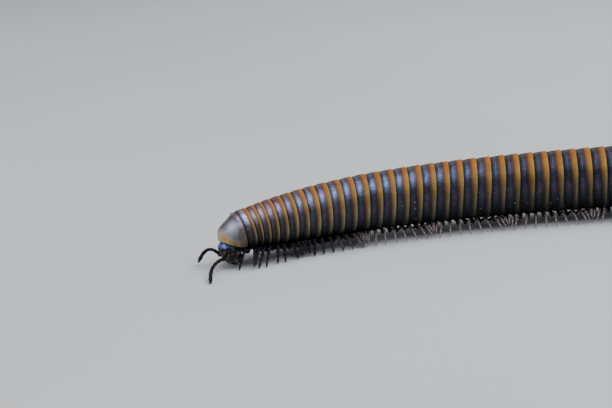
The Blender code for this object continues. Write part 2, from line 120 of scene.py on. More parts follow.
def tube(middles: Array, radii: Array, ways: Array, columns: int, helper: Array = LIMB_SLANT) -> Array:
    """Circles of points round centre lines, middle + radius (aside cos a + other sin a).

    Args:
        middles: Points of the centre lines as (..., rows, 3).
        radii: Radius at each point, as (..., rows).
        ways: Each line's unit direction, as (..., 3).
        columns: Points in each circle.
        helper: Direction that settles where the circles start.

    Returns:
        The points as (..., rows, columns, 3).
    """
    aside, other = (way[..., None, None, :] for way in across(ways, helper))
    angle = turns(columns)[:, None]
    return middles[..., None, :] + radii[..., None, None] * (np.cos(angle) * aside + np.sin(angle) * other)


class Cap(Enum):
    """How the first and last row of a grid are closed."""

    FAN = "fan to the row's middle"
    STRIP = "strip between the row's two halves"


class Slot(Enum):
    """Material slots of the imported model."""

    SHELL = "shell"
    HEAD = "head_chitin"
    FEELER = "feeler_chitin"
    EYE = "eye_gloss"


@dataclass(frozen=True)
class Place:
    """A frame in space: a point, and three unit axes as rows."""

    origin: Array
    axes: Array

    def out(self, local: Array) -> Array:
        """Points given along the three axes, as points of the whole model."""
        return self.origin + local @ self.axes

    def way(self, local: Array) -> Array:
        """Directions given along the three axes, as directions of the whole model."""
        return np.asarray(local) @ self.axes


class SurfaceMesh:
    """Collects closed grids of points, with values at each point, and makes one mesh object of them."""

    def __init__(self, name: str) -> None:
        """Starts an empty mesh.

        Args:
            name: Name of the object that it becomes.
        """
        self.name = name
        self.count = 0
        self.points: list[Array] = []
        self.quads: list[Array] = []
        self.triangles: list[Array] = []
        self.values: dict[str, list[Array]] = {}

    def add(self, grid: Array, cap: Cap = Cap.FAN, **values: Array | float) -> None:
        """Adds closed surfaces whose columns wrap round, facing outwards.

        Args:
            grid: Points as (..., rows, columns, 3). Each leading index is a surface of its own.
            cap: How the first and last row are closed.
            values: Numbers for the materials, for each point or for all, with the same names at each call.
        """
        rows, columns = grid.shape[-3:-1]
        shape = grid.shape[:-1]
        grid = grid.reshape(-1, rows * columns, 3)
        index = np.arange(rows * columns).reshape(rows, columns)
        after = np.roll(index, -1, axis=1)
        quads = np.stack((index[:-1], after[:-1], after[1:], index[1:]), axis=-1).reshape(-1, 4)
        extra, triangles = np.zeros((len(grid), 0, 3)), np.zeros((0, 3), int)
        if cap is Cap.FAN:
            extra = grid.reshape(-1, rows, columns, 3)[:, (0, -1)].mean(axis=2)
            middle = np.full(columns, rows * columns)
            first = np.stack((middle, after[0], index[0]), axis=-1)
            last = np.stack((middle + 1, index[-1], after[-1]), axis=-1)
            triangles = np.concatenate((first, last))
        else:
            near = np.arange(columns // 2 - 1)
            far = columns - 1 - near
            lid = np.stack((near, far, far - 1, near + 1), axis=-1)
            quads = np.concatenate((quads, lid, index[-1, 0] + lid[:, ::-1]))
        whole = np.concatenate((grid, extra), axis=1)
        corners = whole[:, np.concatenate((quads[:, :3], quads[:, (0, 2, 3)], triangles))]
        inward = np.linalg.det(corners - whole[:, None, None, 0]).sum(axis=1)[:, None, None] < 0.0
        offset = (self.count + np.arange(len(grid)) * whole.shape[1])[:, None, None]
        for faces, kept in ((quads, self.quads), (triangles, self.triangles)):
            kept.append((np.where(inward, faces[:, ::-1], faces) + offset).reshape(-1, faces.shape[1]))
        self.points.append(whole.reshape(-1, 3))
        self.count += whole.size // 3
        for name, value in values.items():
            value = np.broadcast_to(np.asarray(value, float), shape).reshape(-1, rows, columns)
            rim = value[:, (0, -1)].mean(axis=2)[:, : extra.shape[1]]
            whole_value = np.concatenate((value.reshape(len(grid), -1), rim), axis=1)
            self.values.setdefault(name, []).append(whole_value.reshape(-1))

    def build(self, material: Material, slot: Slot, *nodes: str, weld: bool = False) -> None:
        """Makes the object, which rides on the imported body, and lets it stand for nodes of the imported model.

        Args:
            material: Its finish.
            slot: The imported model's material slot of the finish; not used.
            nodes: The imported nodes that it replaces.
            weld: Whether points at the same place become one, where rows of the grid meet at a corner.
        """
        quads, triangles = np.concatenate(self.quads), np.concatenate(self.triangles)
        mesh = bpy.data.meshes.new(self.name)
        mesh.vertices.add(self.count)
        mesh.vertices.foreach_set("co", np.concatenate(self.points).astype(np.float32).ravel())
        corners = np.concatenate((quads.ravel(), triangles.ravel())).astype(np.int32)
        mesh.loops.add(len(corners))
        mesh.loops.foreach_set("vertex_index", corners)
        starts = np.concatenate((np.arange(len(quads)) * 4, quads.size + np.arange(len(triangles)) * 3))
        mesh.polygons.add(len(starts))
        mesh.polygons.foreach_set("loop_start", starts.astype(np.int32))
        for name, kept in self.values.items():
            layer = mesh.attributes.new(name, "FLOAT", "POINT")
            layer.data.foreach_set("value", np.concatenate(kept).astype(np.float32))
        mesh.update(calc_edges=True)
        if weld:
            shape = bmesh.new()
            shape.from_mesh(mesh)
            bmesh.ops.remove_doubles(shape, verts=shape.verts, dist=SAME_PLACE)
            shape.to_mesh(mesh)
            shape.free()
        mesh.shade_smooth()
        mesh.set_sharp_from_angle(angle=CREASE)
        mesh.materials.append(material)
        obj = bpy.data.objects.new(self.name, mesh)
        bpy.context.scene.collection.objects.link(obj)
        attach(obj, BODY)
        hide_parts(*nodes)
        LOG.info("%s: %d points for %s", self.name, self.count, ", ".join(nodes))


@dataclass(frozen=True)
class RingPlace:
    """Where one ring sits: its front point on the body's axis, the way to the tail, and its sizes."""

    number: int
    start: Array
    backward: Array
    left: Array
    up: Array
    radius: float
    pitch: float
    length: float

    @property
    def place(self) -> Place:
        """Frame at the ring's front: to the tail, to the left and up."""
        return Place(self.start, np.stack((self.backward, self.left, self.up)))

    def point(self, along: float, out: float, height: float) -> Array:
        """Point this far behind the front edge and out to the left, at this height over the floor."""
        spot = self.start + self.backward * along + self.left * out
        return np.array((spot[0], spot[1], height))


@dataclass(frozen=True)
class BodyPlan:
    """Driving sizes of the body: ring spacing, girth, height and the plan curve of its axis."""

    last_ring: int = 49
    gap: float = 0.3 * MM
    collar_length: float = 2.6 * MM
    pitch_front: float = 0.53 * MM
    pitch_step: float = 1.29 * MM
    pitch_step_ring: float = 5.0
    pitch_step_width: float = 2.6
    pitch_trunk: float = 0.17 * MM
    pitch_trunk_rings: float = 14.0
    neck_ring_extra: float = 0.65 * MM
    trunk_radius: float = 4.28 * MM
    collar_radius: float = 2.54 * MM
    swell_rings: float = 8.7
    swell_power: float = 1.28
    trunk_height: float = 5.30 * MM
    front_drop: float = 0.55 * MM
    front_drop_rings: float = 15.0
    head_turn: float = 24.0
    head_turn_rings: float = 24.2
    trunk_turn: float = -6.9
    trunk_turn_span: Pair = (18.0, 32.0)
    tail_turn: float = 22.0
    tail_turn_span: Pair = (34.0, 52.0)
    neck_lean: Pair = (-0.20, 2.5)
    trunk_lean: float = 0.09
    trunk_lean_begins: Pair = (4.0, 12.0)
    trunk_lean_ends: Pair = (19.0, 34.0)
    front_sweep: float = -0.08
    front_sweep_ends: Pair = (20.0, 28.0)
    footprint_middle: Pair = (44.418 * MM, 2.859 * MM)
    tail_pitch: dict[int, float] = field(default_factory=lambda: {47: 0.94, 48: 0.86, 49: 0.76})
    tail_radius: dict[int, float] = field(
        default_factory=lambda: {45: 0.99, 46: 0.97, 47: 0.93, 48: 0.87, 49: 0.79}
    )

    def pitch(self, ring: int) -> float:
        """Distance from a ring's front edge to the next one's: a step up behind the neck, then a slow growth.

        Args:
            ring: The ring's number, 1 for the collar.

        Returns:
            The distance.
        """
        if ring == 1:
            return self.collar_length + self.gap
        step = self.pitch_step / (1.0 + math.exp((self.pitch_step_ring - ring) / self.pitch_step_width))
        trunk = self.pitch_trunk * (1.0 - math.exp((1 - ring) / self.pitch_trunk_rings))
        neck = self.neck_ring_extra if ring == 2 else 0.0
        return (self.pitch_front + step + trunk) * self.tail_pitch.get(ring, 1.0) + neck

    def radius(self, ring: int) -> float:
        """A ring's radius at its rear edge: trunk - (trunk - collar) exp(-((ring - 1) / rings)^power).

        Args:
            ring: The ring's number.

        Returns:
            The radius.
        """
        narrowing = math.exp(-(((ring - 1) / self.swell_rings) ** self.swell_power))
        full = self.trunk_radius - (self.trunk_radius - self.collar_radius) * narrowing
        return full * self.tail_radius.get(ring, 1.0)

    def turn(self, ring: int) -> float:
        """Angle, seen from above, between +X and the way from a ring to the tail.

        Args:
            ring: The ring's number.

        Returns:
            The angle in radians.
        """
        head = self.head_turn * (1.0 - smooth(ring, 1.0, 1.0 + self.head_turn_rings))
        trunk = self.trunk_turn * smooth(ring, *self.trunk_turn_span)
        return math.radians(head + trunk + self.tail_turn * smooth(ring, *self.tail_turn_span))

    def height(self, ring: int) -> float:
        """Height of the body's axis over the floor."""
        return self.trunk_height - self.front_drop * (1.0 - smooth(ring, 1.0, 1.0 + self.front_drop_rings))

    def slant(self, ring: Array | float, left: Array, up: Array) -> Array:
        """How far the rings' slant carries a point backward: lean times height plus sweep times the way left.

        Args:
            ring: Ring number, between whole numbers along a ring.
            left: The point's distance to the left of the axis.
            up: Its height over the axis.

        Returns:
            The distance.
        """
        trunk = smooth(ring, *self.trunk_lean_begins) - smooth(ring, *self.trunk_lean_ends)
        lean = self.neck_lean[0] * hump(ring, 1.0, self.neck_lean[1]) + self.trunk_lean * trunk
        sweep = self.front_sweep * (1.0 - smooth(ring, *self.front_sweep_ends))
        return lean * up + sweep * left

    def rings(self) -> Rings:
        """Strings the collar, all rings and the tail piece along the plan curve.

        Returns:
            Their places, by ring number.
        """
        found = {}
        start = np.array((-self.footprint_middle[0], -self.footprint_middle[1], self.height(1)))
        for number in range(1, self.last_ring + 2):
            turn, pitch = self.turn(number), self.pitch(number)
            rise = self.height(number + 1) - self.height(number)
            backward = unit(np.array((pitch * math.cos(turn), pitch * math.sin(turn), rise)))
            left = np.array((math.sin(turn), -math.cos(turn), 0.0))
            up = unit(np.cross(left, backward))
            sizes = (self.radius(number), pitch, pitch - self.gap)
            found[number] = RingPlace(number, start, backward, left, up, *sizes)
            start = start + backward * pitch
        return found


@dataclass(frozen=True)
class Value:
    """A number or colour that a node puts out. Plus, minus and times add the Math node that they name."""

    graph: NodeGraph
    socket: bpy.types.NodeSocket

    def __add__(self, other: Value | float) -> Value:
        """The sum."""
        return self.graph.math("ADD", self, other)

    def __sub__(self, other: Value | float) -> Value:
        """The difference."""
        return self.graph.math("SUBTRACT", self, other)

    def __rsub__(self, other: float) -> Value:
        """The difference from a number."""
        return self.graph.math("SUBTRACT", other, self)

    def __mul__(self, other: Value | float) -> Value:
        """The product."""
        return self.graph.math("MULTIPLY", self, other)

    def beside(self, name: str) -> Value:
        """Another output of the same node."""
        return Value(self.graph, self.socket.node.outputs[name])


class NodeGraph:
    """Short calls that add and join the nodes of one material or node group."""

    def __init__(self, tree: bpy.types.NodeTree) -> None:
        """Takes the node tree to fill."""
        self.tree = tree

    def feed(self, node: bpy.types.Node, inputs: Inputs) -> None:
        """Links each Value to its socket, and sets the sockets of plain numbers and colours.

        Args:
            node: The node to feed.
            inputs: What goes into each socket, by its name or place.
        """
        for name, value in inputs.items():
            if isinstance(value, Value):
                self.tree.links.new(value.socket, node.inputs[name])
            else:
                node.inputs[name].default_value = (*value, 1.0) if isinstance(value, tuple) else value

    def add(self, kind: str, inputs: Inputs, output: str | int = 0, **settings: object) -> Value:
        """Adds a shader node.

        Args:
            kind: Its type, after "ShaderNode".
            inputs: What goes into its sockets.
            output: Name or place of the output that is wanted.
            settings: Its properties.

        Returns:
            That output.
        """
        node = self.tree.nodes.new(f"ShaderNode{kind}")
        for name, value in settings.items():
            setattr(node, name, value)
        self.feed(node, inputs)
        return Value(self, node.outputs[output])

    def math(self, operation: str, *terms: Value | float, clamp: bool = False) -> Value:
        """Result of a Math node on its terms."""
        return self.add("Math", dict(enumerate(terms)), operation=operation, use_clamp=clamp)

    def step(self, value: Value, *ends: Value | float, curve: str = "SMOOTHSTEP") -> Value:
        """S-curve of a value from low to high. The third and fourth end are its heights there, or 0 and 1."""
        inputs = dict(zip(("Value", "From Min", "From Max", "To Min", "To Max"), (value, *ends)))
        return self.add("MapRange", inputs, interpolation_type=curve)

    def attributes(self, *names: str) -> list[Value]:
        """The numbers that each point of the mesh carries under these names."""
        return [self.add("Attribute", {}, "Fac", attribute_name=name) for name in names]

    def spot(self) -> Value:
        """Place on the model, in metres."""
        return self.add("TexCoord", {}, "Object")

    def noise(self, size: float, detail: float = 3.0) -> Value:
        """Cloudy noise from 0 to 1 whose blots are about this many metres across."""
        return self.add("TexNoise", {"Vector": self.spot(), "Scale": 1.0 / size, "Detail": detail}, "Fac")

    def wobble(self, size: float, reach: float) -> Value:
        """Cloudy noise from minus to plus half the reach."""
        return (self.noise(size) - 0.5) * reach

    def mix(self, share: Value | float, first: object, second: object, blend: str = "MIX") -> Value:
        """Mixes two colours by a share from 0 to 1."""
        return self.add("Mix", {"Factor": share, 6: first, 7: second}, 2, data_type="RGBA", blend_type=blend)

    def tint(self, colour: Value, by: object) -> Value:
        """The product of two colours."""
        return self.mix(1.0, colour, by, "MULTIPLY")

    def ramp(self, value: Value, *stops: Stop) -> Value:
        """Colour read from a ramp.

        Args:
            value: Where to read it, from 0 to 1.
            stops: Each stop's place in percent, and its red, green and blue in thousandths.

        Returns:
            The colour.
        """
        colour = self.add("ValToRGB", {0: value})
        line = colour.socket.node.color_ramp.elements
        while len(line) < len(stops):
            line.new(1.0)
        for element, (place, *parts) in zip(line, stops):
            element.position = place / 100
            element.color = (*(part / 1000 for part in parts), 1.0)
        return colour

    def toned(self, colour: Value, gain: Value) -> Value:
        """The colour times a number."""
        return self.add("VectorMath", {0: colour, "Scale": gain}, operation="SCALE")

    def bump(self, height: Value, depth: float, **under: Value) -> Value:
        """Normal of a height from 0 to 1 that stands this many metres high, over another Normal if given."""
        return self.add("Bump", {"Strength": 1.0, "Distance": depth, "Height": height, **under})


class Paint(NodeGraph):
    """The nodes of one material, around its Principled shader."""

    def __init__(self, name: str, **constants: float) -> None:
        """Starts the material.

        Args:
            name: Its name.
            constants: Shader inputs that are the same all over, with underscores for spaces.
        """
        self.material = bpy.data.materials.new(name)
        self.material.use_nodes = True
        super().__init__(self.material.node_tree)
        self.dress(**constants)

    def dress(self, **inputs: Value | float) -> Material:
        """Feeds the Principled shader.

        Args:
            inputs: What goes into its sockets, with underscores for spaces.

        Returns:
            The material.
        """
        named = {label.replace("_", " "): value for label, value in inputs.items()}
        self.feed(self.tree.nodes["Principled BSDF"], named)
        return self.material


class Group(NodeGraph):
    """The nodes of one node group, whose sockets are all numbers."""

    def __init__(self, name: str, **inputs: float) -> None:
        """Starts the group.

        Args:
            name: Its name.
            inputs: Its inputs with their usual values.
        """
        super().__init__(bpy.data.node_groups.new(name, "ShaderNodeTree"))
        given = self.tree.nodes.new("NodeGroupInput")
        for label, value in inputs.items():
            self.socket(label, "INPUT").default_value = value
        self.given = [Value(self, given.outputs[label]) for label in inputs]

    def socket(self, label: str, side: str) -> bpy.types.NodeTreeInterfaceSocket:
        """Adds a socket for a number on the INPUT or OUTPUT side."""
        return self.tree.interface.new_socket(label, in_out=side, socket_type="NodeSocketFloat")

    def finish(self, **outputs: Value) -> bpy.types.NodeTree:
        """Closes the group.

        Args:
            outputs: What it puts out.

        Returns:
            The group, to be placed in materials.
        """
        for label in outputs:
            self.socket(label, "OUTPUT")
        self.feed(self.tree.nodes.new("NodeGroupOutput"), outputs)
        return self.tree


class SharedEffects:
    """Node groups that several finishes use: the grain of the chitin, and dust that lies on it."""

    def __init__(self) -> None:
        """Builds both groups."""
        self.grain_group = self.make_grain()
        self.dust_group = self.make_dust()

    def make_grain(self) -> bpy.types.NodeTree:
        """Height and tone of fine cuticle: small pits between slow swells, of a given size in metres.

        Returns:
            The group.
        """
        group = Group("chitin_grain", Size=0.2 * MM)
        scale = group.math("DIVIDE", 1.0, group.given[0])
        swell = group.add("TexNoise", {"Vector": group.spot(), "Scale": scale, "Detail": 4.0}, "Fac")
        cells = {"Vector": group.spot(), "Scale": scale * 0.8}
        pit = group.step(group.add("TexVoronoi", cells, "Distance", feature="SMOOTH_F1"), 0.05, 0.32)
        tone = group.step(group.noise(1.7 * MM, 4.0), 0.3, 0.7)
        return group.finish(Height=swell * 0.6 + pit * 0.4, Tone=tone)

    def make_dust(self) -> bpy.types.NodeTree:
        """Mask of tiny specks of dust, a few to each square millimetre, of a given size in metres.

        Returns:
            The group.
        """
        group = Group("dust_specks", Size=0.9 * MM, Amount=0.3)
        size, amount = group.given
        cells = {"Vector": group.spot(), "Scale": group.math("DIVIDE", 1.0, size)}
        away = group.add("TexVoronoi", cells, "Distance", feature="F1")
        draw = group.add("SeparateColor", {0: away.beside("Color")})
        return group.finish(Mask=group.step(away, 0.15, 0.09) * group.math("LESS_THAN", draw, amount))

    def grain(self, paint: Paint, size: float) -> tuple[Value, Value]:
        """Height and tone of the grain at this size in metres, placed in a material."""
        tone = paint.add("Group", {"Size": size}, "Tone", node_tree=self.grain_group)
        return tone.beside("Height"), tone

    def dust(self, paint: Paint, size: float, amount: float) -> Value:
        """Mask of the dust at this size in metres and amount, placed in a material."""
        return paint.add("Group", {"Size": size, "Amount": amount}, "Mask", node_tree=self.dust_group)


@dataclass(frozen=True)
class ShellFinish:
    """Ring shell: dark with a painted blue sheen in front, an ochre band behind, and painted shade to black at
    the belly.
    """

    effects: SharedEffects
    band_start: Pair = (0.59, 0.56)
    band_start_in_front: float = 0.57
    band_end: float = 0.965
    band_softness: float = 0.12
    band_drawn_in: float = 0.10
    striae: int = 84

    def dark(self, paint: Paint, level: Value, front: Value, aft: Value) -> Value:
        """Colour of the dark part by its height round the ring: a painted sheen high up and painted shade down
        to black at the belly, broken up by clouds.

        Args:
            paint: The material's nodes.
            level: Height round the ring, from 0 at the belly to 1 on top.
            front: Share of the rings behind the collar, whose painted sheen is brighter and lilac.
            aft: Share of the rear rings, on which the painted blue sheen is fainter.

        Returns:
            The colour, with small lighter and darker clouds and slow shifts to violet or teal.
        """
        # Painted light: each ramp holds a painted highlight high on the flank, lilac on the front rings and blue
        # behind, and painted shade down to black at the belly.
        neck = paint.ramp(
            level, (0, 6, 5, 3), (20, 20, 16, 11), (35, 36, 31, 23), (52, 55, 51, 45), (66, 115, 118, 145),
            (78, 330, 325, 490), (89, 540, 480, 700), (100, 360, 260, 240),
        )
        fore = paint.ramp(
            level, (0, 1, 1, 2), (18, 6, 6, 11), (33, 28, 28, 48), (50, 46, 44, 67), (66, 50, 56, 95),
            (79, 85, 125, 230), (87, 205, 315, 640), (94, 190, 265, 460), (100, 100, 110, 145),
        )
        trunk = paint.ramp(
            level, (0, 1, 1, 2), (20, 4, 4, 8), (36, 16, 17, 32), (50, 44, 41, 64), (64, 42, 46, 72),
            (78, 38, 44, 74), (92, 46, 50, 80), (100, 60, 58, 72),
        )
        colour = paint.mix(front, paint.mix(aft, fore, trunk), neck)
        small = paint.ramp(paint.noise(0.32 * MM, 5.0), (30, 620, 620, 620), (70, 1380, 1380, 1380))
        slow = paint.ramp(paint.noise(1.3 * MM, 2.0), (32, 1220, 920, 1060), (68, 840, 1060, 1020))
        return paint.tint(paint.tint(colour, small), slow)

    def ochre(self, paint: Paint, level: Value, up: Value, over: Value, aft: Value) -> Value:
        """Colour of the band: amber on top and khaki below, darkening as painted shade towards the belly, with
        painted shade at its front edge and a painted highlight at its rear edge.

        Args:
            paint: The material's nodes.
            level: Height round the ring, from 0 at the belly to 1 on top.
            up: The same from -1 to 1.
            over: Place across the band, from 0 in front to 1 behind.
            aft: Share of the rear rings, whose bands are darker and bluer below.

        Returns:
            The colour.
        """
        # Painted shade: the band darkens to near black towards the belly.
        colour = paint.ramp(
            level, (0, 8, 7, 5), (17, 48, 44, 28), (31, 122, 112, 64), (47, 205, 158, 64), (65, 230, 134, 36),
            (79, 340, 185, 28), (90, 390, 160, 10), (100, 400, 132, 7),
        )
        # The shading ramps paint shade at the band's front edge and a highlight at its rear edge; on the lower
        # flank, low_shading does so more strongly.
        shading = paint.ramp(
            over, (0, 500, 340, 400), (30, 880, 740, 800), (62, 1000, 1000, 1000), (100, 1220, 1320, 1200)
        )
        low_shading = paint.ramp(
            over, (0, 380, 390, 400), (34, 700, 680, 640), (60, 1070, 1070, 1070), (100, 1140, 1140, 1140)
        )
        colour = paint.tint(colour, shading)
        below = paint.step(up, 0.80, -0.10)
        colour = paint.mix(below, colour, paint.tint(colour, low_shading))
        return paint.mix(below * aft, colour, paint.tint(colour, (0.62, 0.66, 0.78)))

    def relief(self, paint: Paint, height: Value, up: Value, side: Value, along: Value) -> Value:
        """Normal of the grain with fine lengthwise striae on the low rear part, a sine of the angle round it.

        Args:
            paint: The material's nodes.
            height: Height of the grain.
            up: Cosine of the angle round the ring.
            side: Its sine.
            along: Place along the ring.

        Returns:
            The normal.
        """
        wave = paint.math("SINE", paint.math("ARCTAN2", side, up) * float(self.striae))
        striae = (wave * 0.5 + 0.5) * (paint.step(up, 0.25, -0.25) * paint.step(along, 0.42, 0.55))
        return paint.bump(striae, 0.016 * MM, Normal=paint.bump(height, 0.010 * MM))

    def make(self) -> Material:
        """Reads the place along each ring and round it from the mesh.

        Returns:
            The material.
        """
        paint = Paint("shell_chitin", Coat_Roughness=0.30, Specular_IOR_Level=0.22)
        along, up, side, front, aft = paint.attributes("along", "up", "side", "front", "aft")
        level = up * 0.5 + 0.5
        height, tone = self.effects.grain(paint, 0.16 * MM)
        place = along + paint.wobble(0.8 * MM, 0.08)
        start = paint.step(up, -0.7, 0.95, *self.band_start)
        start = start + front * (self.band_start_in_front - start)
        early = start - paint.step(up, 0.2, -0.5, 0.6 * self.band_softness, self.band_softness)
        drawn_in = paint.step(up, 0.55, -0.35, 0.0, self.band_drawn_in) * aft
        edge = paint.step(along + drawn_in, 0.945, 0.985, 1.0, 0.0)
        band = paint.step(place, early, start + 0.6 * self.band_softness) * edge
        over = paint.step(place, start, self.band_end, curve="LINEAR")
        ochre = self.ochre(paint, level, up, over, aft)
        amber = paint.step(paint.math("ABSOLUTE", place - start), 0.13, 0.0) * paint.step(up, -0.35, 0.6)
        # Outside this sheen window the dark part is darker: painted shade behind the ring in front, and the
        # painted sheen's edge before the band.
        sheen = paint.step(place, 0.03, 0.22) * paint.step(place - start, -0.04, -0.26)
        dark = self.dark(paint, level, front, aft)
        dark = paint.mix(sheen, paint.tint(dark, (0.40, 0.31, 0.37)), dark)
        colour = paint.mix(amber * 0.55, paint.mix(band, dark, ochre), (0.120, 0.042, 0.014))
        # The near-black line along the ring's rear lip is painted shade.
        rim = 1.0 - edge
        colour = paint.mix(rim * 0.85, colour, (0.015, 0.008, 0.006))
        speck = self.effects.dust(paint, 0.80 * MM, 0.34) * (paint.step(up, 0.75, -0.2, 0.25, 1.0) * 0.6)
        colour = paint.mix(speck, paint.toned(colour, tone * 0.35 + 0.82), (0.30, 0.27, 0.22))
        plain = paint.math("MAXIMUM", paint.math("MAXIMUM", band, amber), paint.math("MAXIMUM", rim, speck))
        bare = paint.math("SUBTRACT", 1.0, plain, clamp=True)
        return paint.dress(
            Base_Color=colour,
            Metallic=bare * paint.step(up, 0.0, 0.5, 0.25, 0.85),
            Coat_Weight=paint.step(up, 0.0, 0.6) * (bare * 0.45 + 0.08) * (aft * -0.5 + 1.0),
            Roughness=tone * 0.12 + paint.step(up, 0.5, -0.4, 0.38, 0.54) + plain * 0.12,
            Normal=self.relief(paint, height, up, side, along),
        )


@dataclass(frozen=True)
class CollarFinish:
    """Collar plate: blue-grey with a painted sheen, a soft ochre border below and in front, a pinkish rear edge.
    """

    effects: SharedEffects

    def make(self) -> Material:
        """Reads the share of the border and the way from the rear edge from the mesh.

        Returns:
            The material.
        """
        paint = Paint("collar_chitin", Coat_Roughness=0.42, Specular_IOR_Level=0.35)
        border, rear, up, front, painted_highlight = paint.attributes("border", "rear", "up", "front", "painted_highlight")
        height, tone = self.effects.grain(paint, 0.16 * MM)
        # Painted light: lighter part-way up as a painted sheen, darker towards the lower edge as painted shade.
        plain = paint.ramp(
            up * 0.5 + 0.5, (5, 40, 34, 30), (35, 120, 112, 105), (50, 200, 195, 205), (62, 170, 162, 180),
            (76, 105, 88, 82), (100, 95, 66, 50),
        )
        # A painted highlight on each flank of the dome.
        colour = paint.mix(painted_highlight, plain, (0.580, 0.620, 0.800))
        shaded = paint.step(rear, 2.1 * MM, 0.8 * MM) * paint.step(up, 0.55, -0.35)
        colour = paint.mix(shaded * 0.75, colour, (0.070, 0.076, 0.078))
        near = paint.wobble(0.7 * MM, 0.5) + border
        soft = paint.step(near, 2.6, 1.0) * (front * 0.60 + 0.20)
        colour = paint.mix(soft, colour, (0.620, 0.470, 0.310))
        rim = paint.step(near, 1.25, 0.75)
        ochre = paint.ramp(paint.noise(0.9 * MM), (30, 470, 290, 105), (70, 660, 460, 210))
        colour = paint.mix(rim, colour, paint.mix(front, (0.180, 0.112, 0.028), ochre))
        width = paint.step(up, 0.85, -0.30, 0.32 * MM, 0.85 * MM)
        way = paint.wobble(0.5 * MM, 0.30 * MM) + rear
        back = paint.step(way - width, 0.14 * MM, -0.14 * MM)
        mottle = paint.ramp(paint.noise(0.35 * MM), (30, 32, 25, 18), (70, 115, 85, 58))
        margin = paint.mix(paint.step(up, 0.72, 0.20), (0.680, 0.480, 0.400), mottle)
        colour = paint.mix(back * 0.85, colour, margin)
        line = paint.math("MAXIMUM", paint.step(border, 0.16, 0.0), paint.step(rear, 0.05 * MM, -0.12 * MM))
        colour = paint.mix(line * 0.85, colour, (0.022, 0.010, 0.005))
        bare = (1.0 - rim) * (1.0 - back)
        return paint.dress(
            Base_Color=paint.toned(colour, tone * 0.24 + 0.88),
            Metallic=bare * 0.35,
            Coat_Weight=bare * 0.3 + 0.05,
            Roughness=tone * 0.10 + 0.44,
            Normal=paint.bump(height, 0.008 * MM),
        )


@dataclass(frozen=True)
class HeadFinish:
    """Head: a smooth blue brow under the collar, partly a painted sheen, rough purple-black face and jaws below.
    """

    effects: SharedEffects

    def make(self) -> Material:
        """Reads how far down the face each point lies from the mesh.

        Returns:
            The material.
        """
        paint = Paint("head_shell", Coat_Roughness=0.25, Specular_IOR_Level=0.16)
        face, pale = paint.attributes("face", "pale")
        height, tone = self.effects.grain(paint, 0.22 * MM)
        blotch = paint.noise(0.42 * MM, 5.0)
        # The brow's blue is partly its own colour and partly a painted sheen.
        brow = paint.ramp(blotch, (30, 70, 150, 400), (70, 160, 270, 620))
        jaw = paint.ramp(blotch, (46, 4, 2, 5), (55, 22, 14, 20), (66, 150, 125, 85))
        speck = self.effects.dust(paint, 0.46 * MM, 0.62) * (face * 0.80 + 0.05)
        colour = paint.mix(speck, paint.mix(face, brow, jaw), (0.62, 0.52, 0.32))
        bare = paint.math("SUBTRACT", 1.0, face, clamp=True)
        return paint.dress(
            Base_Color=paint.mix(pale, colour, (0.22, 0.15, 0.11)),
            Metallic=bare * 0.7,
            Coat_Weight=bare * 0.4 + 0.06,
            Roughness=tone * 0.12 + (face * 0.22 + 0.30),
            Normal=paint.bump(height * (face * 0.85 + 0.15), 0.05 * MM),
        )


@dataclass(frozen=True)
class LimbFinish:
    """Legs and feelers: a dark root, on the legs partly painted shade, a paler stretch, a tint at the joints,
    darker towards the head.
    """

    effects: SharedEffects
    name: str
    stops: tuple[Stop, ...]
    front_stops: tuple[Stop, ...]
    joint_tint: Triple

    def make(self) -> Material:
        """Reads the place along the limb from the mesh.

        Returns:
            The material.
        """
        paint = Paint(self.name, Coat_Weight=0.03, Coat_Roughness=0.3, Specular_IOR_Level=0.12)
        reach, front, joint = paint.attributes("reach", "front", "joint")
        place = reach + paint.wobble(0.35 * MM, 0.12)
        colour = paint.mix(front, paint.ramp(place, *self.stops), paint.ramp(place, *self.front_stops))
        height, tone = self.effects.grain(paint, 0.12 * MM)
        return paint.dress(
            Base_Color=paint.mix(joint * 0.35, colour, self.joint_tint),
            Roughness=tone * 0.12 + 0.36,
            Normal=paint.bump(height, 0.008 * MM),
        )


@dataclass(frozen=True)
class EyeFinish:
    """Eye patch: glossy black domes with a faint brown depth."""

    effects: SharedEffects

    def make(self) -> Material:
        """Clouds the black with brown and lays a fine grain over it.

        Returns:
            The material.
        """
        paint = Paint("eye_domes", Coat_Weight=0.25, Coat_Roughness=0.1, Specular_IOR_Level=0.2)
        height, tone = self.effects.grain(paint, 0.1 * MM)
        return paint.dress(
            Base_Color=paint.ramp(paint.noise(0.3 * MM), (35, 6, 5, 6), (70, 20, 13, 12)),
            Roughness=tone * 0.08 + 0.12,
            Normal=paint.bump(height, 0.003 * MM),
        )


